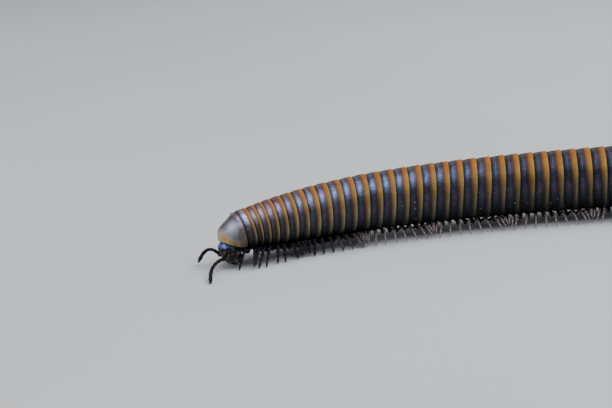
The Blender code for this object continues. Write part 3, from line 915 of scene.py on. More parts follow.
@dataclass(frozen=True)
class ShellRings:
    """The ring shells: each slides under the ring in front, has a suture and a wider rear part with a lip."""

    columns: int = 152
    rows_tucked: int = 5
    rows_seen: int = 34
    tuck: float = 0.45 * MM
    rear_play: float = 0.03 * MM
    wall: float = 0.12 * MM
    slide_play: float = 0.05 * MM
    lip: float = 0.06 * MM
    lip_rows: int = 6
    fore_front: float = 0.955
    crest_front: float = 0.988
    climb_share: float = 0.58
    row_spacing: float = 0.9
    rear_swell: Pair = (0.45, 0.95)
    inner_from_rear: tuple[float, ...] = (0.02 * MM, 0.25 * MM, 0.50 * MM, 0.62 * MM)
    suture_at: float = 0.40
    suture_depth: float = 0.018 * MM
    suture_width: float = 0.045 * MM
    rim_rise: float = 0.012 * MM
    rim_from_rear: float = 0.16 * MM
    rim_width: float = 0.10 * MM
    belly_flat: float = 0.045
    belly_flat_width: float = 0.45
    unevenness: float = 0.006 * MM
    pore_rings: tuple[int, int] = (6, 48)
    pore_angle: float = math.radians(97.0)
    pore_behind_suture: float = 0.22 * MM
    pore_radius: float = 0.075 * MM
    pore_depth: float = 0.07 * MM
    pore_wall: float = 0.02 * MM
    pore_columns: int = 15
    pore_columns_reach: float = 0.07
    # Over how many rings the front rings' brighter lilac painted sheen fades.
    front_fade: float = 5.5
    long_ring_power: float = 1.4
    # Rings over which the painted sheen grows fainter towards the tail.
    sheen_fade_rings: Pair = (7.5, 26.5)

    def angles(self) -> Array:
        """Angles from the top round the ring, set closer where the pores lie on both sides.

        Returns:
            The angles, rising from -pi.
        """
        even = np.linspace(-math.pi, math.pi, self.columns, endpoint=False)
        close = np.linspace(-self.pore_columns_reach, self.pore_columns_reach, self.pore_columns)
        return np.sort(np.concatenate((even, close + self.pore_angle, close - self.pore_angle)))

    def profile(self, ring: RingPlace, before: RingPlace) -> tuple[Array, Array]:
        """Distance behind the front edge and radius, from the tucked front over the lip into the ring.

        The radius climbs as 1 - (1 - t)^2 to the crest, with a fine groove at the suture, then evenly to the
        rear, and swells a little before the lip, a quarter circle; an inner wall and a floor close it behind.

        Args:
            ring: The ring.
            before: The ring in front, which it slides into.

        Returns:
            Distances and radii of the profile's points.
        """
        rear = ring.pitch - self.rear_play
        fore = min(self.fore_front * ring.radius, before.radius - self.wall - self.slide_play)
        tucked = np.linspace(-self.tuck, 0.0, self.rows_tucked, endpoint=False)
        seen = rear * np.linspace(0.0, 1.0, self.rows_seen) ** self.row_spacing - self.lip
        along = np.concatenate((tucked, np.maximum(seen, 0.0)[1:]))
        climb = 1.0 - (1.0 - np.clip(along / (self.climb_share * rear), 0.0, 1.0)) ** 2
        radius = fore + (self.crest_front * ring.radius - fore) * climb
        radius = radius + (1.0 - self.crest_front) * ring.radius * smooth(along / rear, *self.rear_swell)
        radius = radius - self.suture_depth * hump(along, self.suture_at * ring.length, self.suture_width)
        radius = radius + self.rim_rise * hump(along, rear - self.rim_from_rear, self.rim_width)
        quarter = np.linspace(0.0, 0.5 * math.pi, self.lip_rows)[1:]
        top = radius[-1]
        lip = (rear - self.lip + self.lip * np.sin(quarter), top - self.lip + self.lip * np.cos(quarter))
        inner_along = rear - np.array(self.inner_from_rear)
        inner_radius = np.array((top - self.wall, top - self.wall - 0.02 * MM, 0.9 * top, 0.3 * top))
        return np.concatenate((along, lip[0], inner_along)), np.concatenate((radius, lip[1], inner_radius))

    def pores(self, ring: RingPlace, along: Array, angle: Array) -> Array:
        """Swell of the pore on each side, a round pit with a low wall.

        Args:
            ring: The ring.
            along: Each point's distance behind the front edge.
            angle: Its angle from the top.

        Returns:
            How far each point is pushed out.
        """
        sideways = (np.abs(angle) - self.pore_angle) * ring.radius
        away = np.hypot(sideways, along - (self.suture_at * ring.length + self.pore_behind_suture))
        pit = self.pore_depth * hump(away, 0.0, self.pore_radius)
        return self.pore_wall * hump(away, 1.9 * self.pore_radius, 0.6 * self.pore_radius) - pit

    def add(self, mesh: SurfaceMesh, plan: BodyPlan, ring: RingPlace, before: RingPlace) -> None:
        """Adds one ring's shell.

        A point lies at (along, radius sin a, radius cos a) for the angle a from the top, and is then carried
        back by the ring's slant. The belly is pressed flat a little, and slow waves keep the gloss uneven.

        Args:
            mesh: The mesh to add to.
            plan: The body's driving sizes.
            ring: The ring.
            before: The ring in front.
        """
        profile, radius = self.profile(ring, before)
        along, angle = np.meshgrid(profile, self.angles(), indexing="ij")
        outside = np.arange(len(profile))[:, None] < self.rows_tucked + self.rows_seen
        belly = hump(math.pi - np.abs(angle), 0.0, self.belly_flat_width)
        spread = radius[:, None] * (1.0 - self.belly_flat * belly)
        phase = ring.number * 1.7
        waves = np.sin(5.0 * angle + phase) + np.sin(9.0 * angle - 2.3 * phase + along / (0.3 * MM))
        spread = spread + self.unevenness * waves * outside
        if self.pore_rings[0] <= ring.number <= self.pore_rings[1]:
            spread = spread + self.pores(ring, along, angle) * outside
        left, up = spread * np.sin(angle), spread * np.cos(angle)
        share = along / ring.pitch
        slanted = along + plan.slant(ring.number + share, left, up)
        if ring.number == 2:
            share = np.sign(share) * np.abs(share) ** self.long_ring_power
        # front marks the rings with the brighter lilac painted sheen, aft the rings on which the painted sheen
        # is fainter.
        mesh.add(
            ring.place.out(np.stack((slanted, left, up), axis=-1)),
            along=share + 0.6 * ~outside,
            up=np.cos(angle),
            side=np.sin(angle),
            front=math.exp(-(((ring.number - 2) / self.front_fade) ** 2)),
            aft=float(smooth(ring.number, *self.sheen_fade_rings)),
        )

    def build(self, plan: BodyPlan, rings: Rings, material: Material) -> None:
        """Makes one piece for each ring, from the second to the last.

        Args:
            plan: The body's driving sizes.
            rings: The rings' places.
            material: The shells' finish.
        """
        for number in range(2, plan.last_ring + 1):
            mesh = SurfaceMesh(f"shell_ring_{number:02d}")
            self.add(mesh, plan, rings[number], rings[number - 1])
            mesh.build(material, Slot.SHELL, f"ring_{number:02d}")


@dataclass(frozen=True)
class Limbs:
    """Jointed limbs as chains of tapered segments, with hairs. Legs and feelers share it."""

    rows: int = 6
    columns: int = 8
    overlap: float = 0.05
    hair_taper: float = 0.92
    hair_sag: float = 0.14

    def segments(self, starts: Array, ends: Array, thick: Array, thin: Array) -> tuple[Array, Array]:
        """Surfaces of segments, each thin at its root, thickest past its middle and rounded in at its end.

        Args:
            starts: Root points as (..., 3).
            ends: End points as (..., 3).
            thick: Radii at the roots.
            thin: Radii near the ends.

        Returns:
            The grid of points, and each point's share of the way along its segment.
        """
        length = np.linalg.norm(ends - starts, axis=-1)[..., None]
        axis = unit(ends - starts)
        share = np.concatenate(([0.0], np.linspace(0.03, 0.97, self.rows - 2), [1.0]))
        share = share * (1.0 + 2.0 * self.overlap) - self.overlap
        end = 1.0 + self.overlap
        swell = 0.86 + 0.16 * smooth(share, 0.0, 0.72) - 0.10 * smooth(share, 0.84, end)
        tuck_in = smooth(share, -self.overlap - 0.02, 0.04) * (1.0 - 0.85 * smooth(share, 0.96, end))
        radius = thick[..., None] * (1.0 - share) + thin[..., None] * share
        middle = starts[..., None, :] + axis[..., None, :] * (length * share)[..., None]
        grid = tube(middle, radius * swell * (0.45 + 0.55 * tuck_in), axis, self.columns)
        return grid, np.broadcast_to(share[:, None], grid.shape[:-1])

    def hairs(self, roots: Array, ways: Array, lengths: Array, thickness: float) -> Array:
        """Thin three-sided hairs that taper to a point, bent a little to the floor at their tips.

        Args:
            roots: Root points as (count, 3).
            ways: Directions as (count, 3).
            lengths: Length of each.
            thickness: Radius at the root.

        Returns:
            The grid of points, as (count, rows, 3 columns, 3).
        """
        ways = unit(ways)
        share = np.array((0.0, 0.45, 1.0))[:, None]
        lengths = lengths[:, None, None]
        middle = roots[:, None] + ways[:, None] * lengths * share
        middle = middle - self.hair_sag * UPRIGHT * lengths * share**2
        return tube(middle, thickness * (1.0 - self.hair_taper * share[:, 0]), ways, 3, HAIR_SLANT)


@dataclass(frozen=True)
class WalkingLegs:
    """The walking legs: seven segments and a claw each, arched over a knee and stepping in waves."""

    limbs: Limbs = Limbs()
    last_ring: int = 48
    last_ring_with_one_pair: int = 4
    legs_at: dict[int, float] = field(default_factory=lambda: {2: 0.25})
    root_out: float = 0.14
    hip_out: float = 0.25
    knee_out: float = 0.72
    foot_out: float = 1.02
    root_depth: float = 0.55 * MM
    hip_below_belly: float = 0.32 * MM
    lowest_hip: float = 0.62 * MM
    knee_below_shell: float = 0.56 * MM
    wave_start_ring: float = 7.65
    wave_rings: float = 4.7
    wave_stretch: float = 0.030
    swing_share: float = 0.42
    step_reach: float = 0.85
    hip_share: float = 0.1
    knee_share: float = 0.5
    knee_slant: float = 0.5
    lift: float = 0.85 * MM
    lifted_foot_in: float = 0.35 * MM
    arch_up: float = 0.05 * MM
    arch_out: float = 0.06 * MM
    claw: float = 0.26 * MM
    claw_radius: float = 0.055 * MM
    front_reach: dict[int, float] = field(
        default_factory=lambda: {
            2: 2.6 * MM, 3: 2.5 * MM, 4: 2.3 * MM, 5: 2.2 * MM, 6: 1.4 * MM, 7: 0.7 * MM, 8: 0.3 * MM
        }
    )
    front_spread: dict[int, float] = field(
        default_factory=lambda: {3: 1.7 * MM, 4: 1.3 * MM, 5: 0.8 * MM, 6: 0.4 * MM}
    )
    radii: tuple[float, ...] = (0.26, 0.24, 0.21, 0.180, 0.145, 0.120, 0.100, 0.065)
    radii_ring: int = 25
    front_girth: Pair = (1.20, 1.25)
    front_rings: Pair = (9.0, 16.0)
    thigh_bends: tuple[Pair, ...] = ((0.36, 0.4), (0.80, 1.5))
    shin_bends: tuple[Pair, ...] = ((0.17, 1.5), (0.46, 1.2), (0.72, 0.6))
    foot_rise: float = 0.6
    play_along: Pair = (-0.02, 0.02)
    play_out: Pair = (-0.12, 0.08)
    hair_spots: tuple[Pair, ...] = ((0.55, 0.5), (0.9, 1.0), (0.9, -0.6))
    hair_length: Pair = (0.16 * MM, 0.30 * MM)
    hair_radius: float = 0.011 * MM
    seed: int = 11
    hair_seed: int = 5

    def step(self, phase: float) -> Pair:
        """Where a foot is in its step: forward through the air in the swing, then back along the floor.

        Args:
            phase: Steps done so far. Whole numbers are the middle of the swing.

        Returns:
            The foot's backward offset from -1 to 1, and its lift from 0 to 1.
        """
        turn = (phase + 0.5 * self.swing_share) % 1.0
        if turn < self.swing_share:
            share = turn / self.swing_share
            return 1.0 - 2.0 * share, math.sin(math.pi * share)
        share = (turn - self.swing_share) / (1.0 - self.swing_share)
        return 2.0 * share - 1.0, 0.0

    def joints(self, ring: RingPlace, along: float, side: int, wobble: Pair, lean: float) -> Array:
        """The eight ends of a leg's seven segments, from inside the belly to the tip of the foot.

        The leg goes out from the belly to a knee under the shell's edge and down to the foot. The bends are
        shares of the way from hip to knee or from knee to foot, each with its part of the arch, and the
        fourth segment cuts the knee's corner.

        Args:
            ring: The ring that carries the leg.
            along: The leg's place behind the ring's front edge.
            side: 1 for the left, -1 for the right.
            wobble: The foot's own small shift backward and outward.
            lean: How far the ring's slant carries its belly backward.

        Returns:
            Points as (8, 3).
        """
        height = ring.start[2] + ring.backward[2] * along
        belly = height - ring.radius
        distance = ring.number - self.wave_start_ring + along / ring.pitch - 0.8
        offset, lift = self.step(distance / (self.wave_rings + self.wave_stretch * distance))
        shift = self.step_reach * ring.pitch * offset + wobble[0] - self.front_reach.get(ring.number, 0.0)
        out = side * ring.radius
        spread = self.front_spread.get(ring.number, 0.0)
        foot_out = out * self.foot_out + side * (wobble[1] + spread - self.lifted_foot_in * lift)
        knee_height = height - ring.radius * math.sqrt(1.0 - self.knee_out**2) - self.knee_below_shell
        knee_along = along + self.knee_share * shift + self.knee_slant * lean
        hip_height = max(belly - self.hip_below_belly, self.lowest_hip)
        root = ring.point(along + lean, out * self.root_out, belly + self.root_depth)
        hip = ring.point(along + lean + self.hip_share * shift, out * self.hip_out, hip_height)
        knee = ring.point(knee_along, out * self.knee_out, knee_height)
        foot = ring.point(along + shift, foot_out, self.foot_rise * self.claw + self.lift * lift)
        bend = self.arch_up * UPRIGHT + ring.left * side * self.arch_out
        thigh = [hip + share * (knee - hip) + arch * bend for share, arch in self.thigh_bends]
        shin = [knee + share * (foot - knee) + arch * bend for share, arch in self.shin_bends]
        return np.stack((root, hip, *thigh, *shin, foot))

    def ring_joints(self, plan: BodyPlan, ring: RingPlace, chance: random.Random) -> Array:
        """Joints of all legs of one ring.

        Args:
            plan: The body's driving sizes.
            ring: The ring.
            chance: Draws each foot's own small shift.

        Returns:
            Points as (legs, 8, 3).
        """
        lean = float(plan.slant(ring.number, 0.0, -ring.radius))
        pairs = 1 if ring.number <= self.last_ring_with_one_pair else 2
        middle = self.legs_at.get(ring.number, 0.5) * ring.length
        found = []
        for pair in range(pairs):
            along = middle + (pair - 0.5 * (pairs - 1)) * ring.pitch / pairs
            for side in (-1, 1):
                wobble = (chance.uniform(*self.play_along) * MM, chance.uniform(*self.play_out) * MM)
                found.append(self.joints(ring, along, side, wobble, lean))
        return np.stack(found)

    def claws(self, feet: Array, shins: Array) -> Array:
        """A curved claw for each foot, a cone along the foot's way that bends down to the floor.

        Args:
            feet: Tips of the legs as (legs, 3).
            shins: The joints before them.

        Returns:
            The grid of points, one surface for each claw.
        """
        ways = unit(feet - shins)
        share = np.linspace(0.0, 1.0, 6)
        reach = ways * np.array((1.0, 1.0, 0.42)) + np.array((-0.35, 0.0, -0.18))
        middle = feet[:, None] + reach[:, None] * self.claw * (share[:, None] - 0.15)
        middle = middle - 0.10 * UPRIGHT * self.claw * share[:, None] ** 2
        return tube(middle, self.claw_radius * (1.0 - 0.9 * share), ways, 6)

    def hairs(self, starts: Array, ends: Array, radii: Array) -> list[Array]:
        """Two stiff hairs under each segment and a few at the foot.

        Args:
            starts: Root points of the segments.
            ends: Their end points.
            radii: Their radii.

        Returns:
            Grids of points.
        """
        chance = np.random.default_rng(self.hair_seed)
        axis = unit(ends - starts)
        beside = unit(np.cross(axis, UPRIGHT))
        below = np.cross(beside, axis)
        below = np.where(below[..., 2:] > 0.0, -below, below)
        found = []
        for share, tilt in self.hair_spots:
            way = unit(below + tilt * beside)
            roots = starts + (ends - starts) * share + way * radii[..., None] * 0.9
            lengths = chance.uniform(*self.hair_length, roots.size // 3)
            ways = (way + 0.7 * axis).reshape(-1, 3)
            found.append(self.limbs.hairs(roots.reshape(-1, 3), ways, lengths, self.hair_radius))
        return found

    def build(self, plan: BodyPlan, rings: Rings, material: Material) -> None:
        """Makes one piece for the legs of each ring.

        Args:
            plan: The body's driving sizes.
            rings: The rings' places.
            material: The legs' finish.
        """
        chance = random.Random(self.seed)
        girth = np.linspace(*self.front_girth, len(self.radii))
        for number in range(2, self.last_ring + 1):
            ring = rings[number]
            front = 1.0 - float(smooth(number, *self.front_rings))
            size = math.sqrt(ring.radius / rings[self.radii_ring].radius) * (1.0 + girth * front)
            radii = np.array(self.radii) * MM * size
            joints = self.ring_joints(plan, ring, chance)
            starts, ends = joints[:, :-1], joints[:, 1:]
            thick, thin = (np.broadcast_to(side, starts.shape[:-1]) for side in (radii[:-1], radii[1:]))
            grid, share = self.limbs.segments(starts, ends, thick, thin)
            reach = (np.arange(7)[:, None, None] + np.clip(share, 0.0, 1.0)) / 7.0
            mesh = SurfaceMesh(f"legs_ring_{number:02d}")
            mesh.add(grid, reach=reach, front=front, joint=hump(share, 0.0, 0.10) + hump(share, 1.0, 0.07))
            claws = (self.claws(joints[:, -1], joints[:, -2]), 1.0)
            hairs = ((hair, 0.8) for hair in self.hairs(starts[:, 1:], ends[:, 1:], thin[:, 1:]))
            for fine, place in (claws, *hairs):
                fine[..., 2] = np.maximum(fine[..., 2], FLOOR_PLAY)
                mesh.add(fine, reach=place, front=front, joint=0.0)
            mesh.build(material, Slot.SHELL, f"ring_{number:02d}")


@dataclass(frozen=True)
class HeadShape:
    """The head's rounded box and where things sit on it, in a frame at the middle of the collar's rear edge.

    The frame's X runs forward, Y to the animal's left and Z up.
    """

    middle: Triple = (1.22 * MM, 0.0, -2.55 * MM)
    tilt: float = math.radians(17.0)
    half_length: float = 1.85 * MM
    half_width: float = 2.0 * MM
    face_depth: float = 1.62 * MM
    nape_depth: float = 1.05 * MM
    boxiness: float = 0.80
    crown_narrowing: float = 0.35
    jaw_narrowing: float = 0.11
    nape_narrowing: float = 0.30
    socket: Triple = (0.94, 0.28, -0.09)
    eye: Triple = (0.42, 0.90, 0.36)
    bulge: Triple = (0.72, 0.62, 0.30)

    def place(self, collar: RingPlace, collar_length: float) -> Place:
        """Frame at the middle of the collar's rear edge: forward, left and up."""
        origin = collar.start + collar.backward * collar_length
        return Place(origin, np.stack((-collar.backward, collar.left, collar.up)))

    def surface(self, ways: Array, swell: Array | float = 0.0) -> Array:
        """Points of the head's surface.

        Each part of the unit direction is raised to the boxiness and stretched by the head's half sizes,
        which shrink towards the jaws, and the whole is tipped forward by a turn about Y.

        Args:
            ways: Directions to the face, to the left and to the crown, as (..., 3).
            swell: How far outside the plain surface to go.

        Returns:
            Points in the head's frame.
        """
        ways = unit(np.asarray(ways, float))
        boxed = np.sign(ways) * np.abs(ways) ** self.boxiness
        jaw = 0.5 * (1.0 - boxed[..., 2])
        narrowing = 1.0 - self.jaw_narrowing * jaw
        nape = self.nape_depth * (1.0 - self.nape_narrowing * jaw)
        depth = np.where(boxed[..., 0] > 0.0, self.face_depth * narrowing, nape)
        width = self.half_width * narrowing * (1.0 - self.crown_narrowing * np.maximum(boxed[..., 2], 0.0))
        sizes = np.stack((depth, width, np.full_like(depth, self.half_length)), axis=-1)
        sine, cosine = math.sin(self.tilt), math.cos(self.tilt)
        turn = np.array(((cosine, 0.0, -sine), (0.0, 1.0, 0.0), (sine, 0.0, cosine)))
        return np.array(self.middle) + (sizes + np.asarray(swell)[..., None]) * boxed @ turn

    def on(self, way: Triple, side: int) -> Array:
        """Point of the surface in this direction on the left (side 1) or the right (side -1)."""
        return self.surface((way[0], side * way[1], way[2]))


@dataclass(frozen=True)
class Lobe:
    """A rounded lobe of the mouthparts: an ellipsoid whose points a rule may push about."""

    middle: Triple
    radii: Triple
    rows: int = 48
    columns: int = 72

    def grid(self, side: int = 1) -> tuple[Array, Array]:
        """Points in the head's frame and their directions from the middle, which side -1 mirrors."""
        ways = sphere(self.rows, self.columns)
        return np.array(self.middle) * np.array((1.0, side, 1.0)) + ways * np.array(self.radii), ways


@dataclass(frozen=True)
class Head:
    """Head capsule with feeler sockets, brow groove and cheeks, and the mouthparts under it."""

    shape: HeadShape = HeadShape()
    rows: int = 120
    columns: int = 176
    brow_height: Pair = (-2.05 * MM, -1.60 * MM)
    brow_front: Pair = (0.9 * MM, 1.8 * MM)
    face_front: Pair = (1.0 * MM, 1.8 * MM)
    socket_radius: float = 0.34 * MM
    socket_depth: float = 0.36 * MM
    socket_rim: float = 0.05 * MM
    groove_depth: float = 0.028 * MM
    groove_height: Pair = (-2.4 * MM, -1.6 * MM)
    lip_line: tuple[float, float, float] = (0.035 * MM, -3.28 * MM, 0.07 * MM)
    face_pores: tuple[float, ...] = (-0.75 * MM, -0.28 * MM, 0.28 * MM, 0.75 * MM)
    face_rough: Pair = (0.022 * MM, 0.55 * MM)
    bulge: Pair = (0.05 * MM, 0.7 * MM)
    eye_bulge: Pair = (0.04 * MM, 0.60 * MM)
    jaw_bumps: float = 0.5 * MM
    cheek_rough: float = 0.020 * MM
    cheek_groove: Triple = (0.05 * MM, -2.35 * MM, 0.06 * MM)
    lip_rough: float = 0.014 * MM
    lip_edge: Pair = (4.05 * MM, 4.40 * MM)
    lip_notch: Pair = (0.26 * MM, 0.20 * MM)
    lip_teeth: Pair = (0.09 * MM, 0.13 * MM)
    chin_lines: Pair = (0.05 * MM, 0.42 * MM)
    comb_width: float = 0.045 * MM
    cheek: Lobe = Lobe((1.26 * MM, 1.34 * MM, -2.95 * MM), (0.82 * MM, 0.70 * MM, 1.08 * MM))
    lip: Lobe = Lobe((1.12 * MM, 0.0, -3.93 * MM), (0.74 * MM, 1.08 * MM, 0.60 * MM))
    chin: Lobe = Lobe((0.52 * MM, 0.0, -3.72 * MM), (0.60 * MM, 1.05 * MM, 0.60 * MM))

    def roughness(self, points: Array, size: float) -> Array:
        """Bumpy height from -1 to 1: a product of slow sines in three slanted directions, with a finer one.

        Args:
            points: Points in the head's frame.
            size: Size of the bumps.

        Returns:
            The height at each point.
        """
        x, y, z = np.moveaxis(points / size, -1, 0)
        first = np.sin(6.1 * x + 2.3 * y + 1.7 * np.sin(3.1 * z)) * np.sin(5.3 * y - 2.9 * z)
        return 0.6 * first + 0.4 * np.sin(11.7 * z + 7.9 * x) * np.sin(12.3 * y + 3.0 * x)

    def add_capsule(self, mesh: SurfaceMesh, place: Place) -> None:
        """Adds the head capsule, the rounded box with sockets, grooves and a rough lower face.

        Args:
            mesh: The mesh to add to.
            place: The head's frame.
        """
        ways = sphere(self.rows, self.columns)
        plain = self.shape.surface(ways)
        x, y, z = np.moveaxis(plain, -1, 0)
        face = 1.0 - smooth(z, *self.brow_height) * smooth(x, *self.brow_front)
        swell = self.face_rough[0] * face * self.roughness(plain, self.face_rough[1])
        pale = np.zeros(swell.shape)
        for side in (1, -1):
            away, bulge, eye = (
                np.linalg.norm(plain - self.shape.on(way, side), axis=-1)
                for way in (self.shape.socket, self.shape.bulge, self.shape.eye)
            )
            swell = swell - self.socket_depth * np.exp(-((away / self.socket_radius) ** 4))
            swell = swell + self.socket_rim * hump(away, 1.35 * self.socket_radius, 0.28 * self.socket_radius)
            pale = np.maximum(pale, 0.4 * hump(away, 1.3 * self.socket_radius, 0.20 * self.socket_radius))
            for spot, (rise, width) in ((bulge, self.bulge), (eye, self.eye_bulge)):
                swell = swell + rise * hump(spot, 0.0, width)
        forward = smooth(x, *self.face_front)
        groove = self.groove_depth * hump(y, 0.0, 0.05 * MM) * forward * smooth(z, *self.groove_height)
        depth, level, width = self.lip_line
        swell = swell - groove - depth * hump(z, level, width) * forward
        for spot in self.face_pores:
            hole = np.hypot(y - spot, z + 3.5 * MM + 0.10 * spot**2 / MM)
            swell = swell - 0.05 * MM * hump(hole, 0.0, 0.05 * MM) * forward
        mesh.add(place.out(self.shape.surface(ways, swell)), face=face, pale=pale)

    def add_mouthparts(self, mesh: SurfaceMesh, place: Place) -> None:
        """Adds both mandible plates with their groove, the notched upper lip and the grooved chin plate.

        Args:
            mesh: The mesh to add to.
            place: The head's frame.
        """
        for side in (1, -1):
            points, ways = self.cheek.grid(side)
            level = points[..., 2] + 0.45 * (points[..., 0] - 1.2 * MM)
            depth, at, width = self.cheek_groove
            bumps = self.cheek_rough * self.roughness(points, self.jaw_bumps)
            swell = bumps - depth * hump(level, at, width)
            mesh.add(place.out(points + ways * swell[..., None]), face=1.0, pale=0.0)
        points, ways = self.lip.grid()
        low = smooth(-points[..., 2], *self.lip_edge)
        notch = self.lip_notch[0] * hump(points[..., 1], 0.0, self.lip_notch[1]) * low
        teeth = self.lip_teeth[0] * self.comb(points, self.lip_teeth[1]) * low
        points = points + ways * (self.lip_rough * self.roughness(points, self.jaw_bumps))[..., None]
        points[..., 2] += notch - teeth
        mesh.add(place.out(points), face=1.0, pale=0.12 * low)
        points, ways = self.chin.grid()
        lines = self.chin_lines[0] * self.comb(points, self.chin_lines[1])
        mesh.add(place.out(points - ways * lines[..., None]), face=1.0, pale=0.05)

    def comb(self, points: Array, spacing: float) -> Array:
        """Three narrow lengthwise ridges, one in the middle and one this far to each side."""
        return sum(hump(points[..., 1], spot * spacing, self.comb_width) for spot in (-1, 0, 1))

    def add_bristles(self, mesh: SurfaceMesh, place: Place) -> None:
        """Adds the fringe of bristles along the upper lip and a few on the face.

        Args:
            mesh: The mesh to add to.
            place: The head's frame.
        """
        side = np.linspace(-0.86, 0.86, 19)
        even = np.ones_like(side)
        fringe = np.stack((1.62 - 0.45 * side**2, side, -4.22 + 0.34 * side**2), axis=-1) * MM
        fringe_ways = np.stack((0.55 * even, 0.25 * side, -0.8 * even), axis=-1)
        few = ((-0.75, -3.44, -0.2), (-0.28, -3.49, -0.1), (0.28, -3.49, 0.1), (0.75, -3.44, 0.2))
        brow = np.array([(2.0, aside, height) for aside, height, _ in few]) * MM
        brow_ways = np.array([(0.9, aside, -0.4) for _, _, aside in few])
        roots, ways = np.concatenate((fringe, brow)), np.concatenate((fringe_ways, brow_ways))
        lengths = np.concatenate((0.22 * MM + 0.05 * MM * np.sin(7.0 * side), np.full(4, 0.42 * MM)))
        mesh.add(Limbs().hairs(place.out(roots), place.way(ways), lengths, 0.014 * MM), face=0.6, pale=0.55)

    def build(self, place: Place, material: Material) -> None:
        """Makes the capsule and the mouthparts as two pieces.

        Args:
            place: The head's frame.
            material: The head's finish.
        """
        capsule, mouth = SurfaceMesh("head_capsule"), SurfaceMesh("mouthparts")
        self.add_capsule(capsule, place)
        self.add_mouthparts(mouth, place)
        self.add_bristles(mouth, place)
        for mesh in (capsule, mouth):
            mesh.build(material, Slot.HEAD, "head")


@dataclass(frozen=True)
class Eyes:
    """Eye patches: low beds, each with rows of small domes."""

    shape: HeadShape = HeadShape()
    patch: Pair = (0.44 * MM, 0.34 * MM)
    patch_rise: float = 0.13 * MM
    dome: float = 0.068 * MM
    spacing: float = 0.135 * MM

    def domes(self) -> Array:
        """Middles of the domes, in staggered rows inside the patch's oval, on its curved bed.

        Returns:
            Points as (count, 3): out of the patch, along it and up.
        """
        row, column = np.meshgrid(np.arange(-3, 4), np.arange(-4, 5), indexing="ij")
        spots = np.stack((column + 0.5 * (row % 2), row * 0.87), axis=-1).reshape(-1, 2) * self.spacing
        share = ((spots / np.array(self.patch)) ** 2).sum(axis=-1)
        bulge = self.patch_rise * np.sqrt(np.maximum(0.0, 1.0 - share)) - 0.01 * MM
        return np.concatenate((bulge[:, None], spots), axis=-1)[share < 0.86]

    def build(self, place: Place, material: Material) -> None:
        """Makes both eye patches.

        Args:
            place: The head's frame.
            material: The eyes' finish.
        """
        ball = np.roll(sphere(12, 24), 1, axis=-1)
        bed = ball * np.array((self.patch_rise, self.patch[0] * 1.05, self.patch[1] * 1.05))
        domes = self.domes()[:, None, None] + ball[::2, ::2] * self.dome
        for side, name in ((1, "left"), (-1, "right")):
            way = Vector((self.shape.eye[0], side * self.shape.eye[1], self.shape.eye[2]))
            turn = np.array(way.to_track_quat("X", "Z").to_matrix()).T
            patch = Place(self.shape.surface(way), turn)
            mesh = SurfaceMesh(f"ocelli_{name}")
            for grid in (bed, domes):
                mesh.add(place.out(patch.out(grid)))
            mesh.build(material, Slot.EYE, f"eye_{name}")


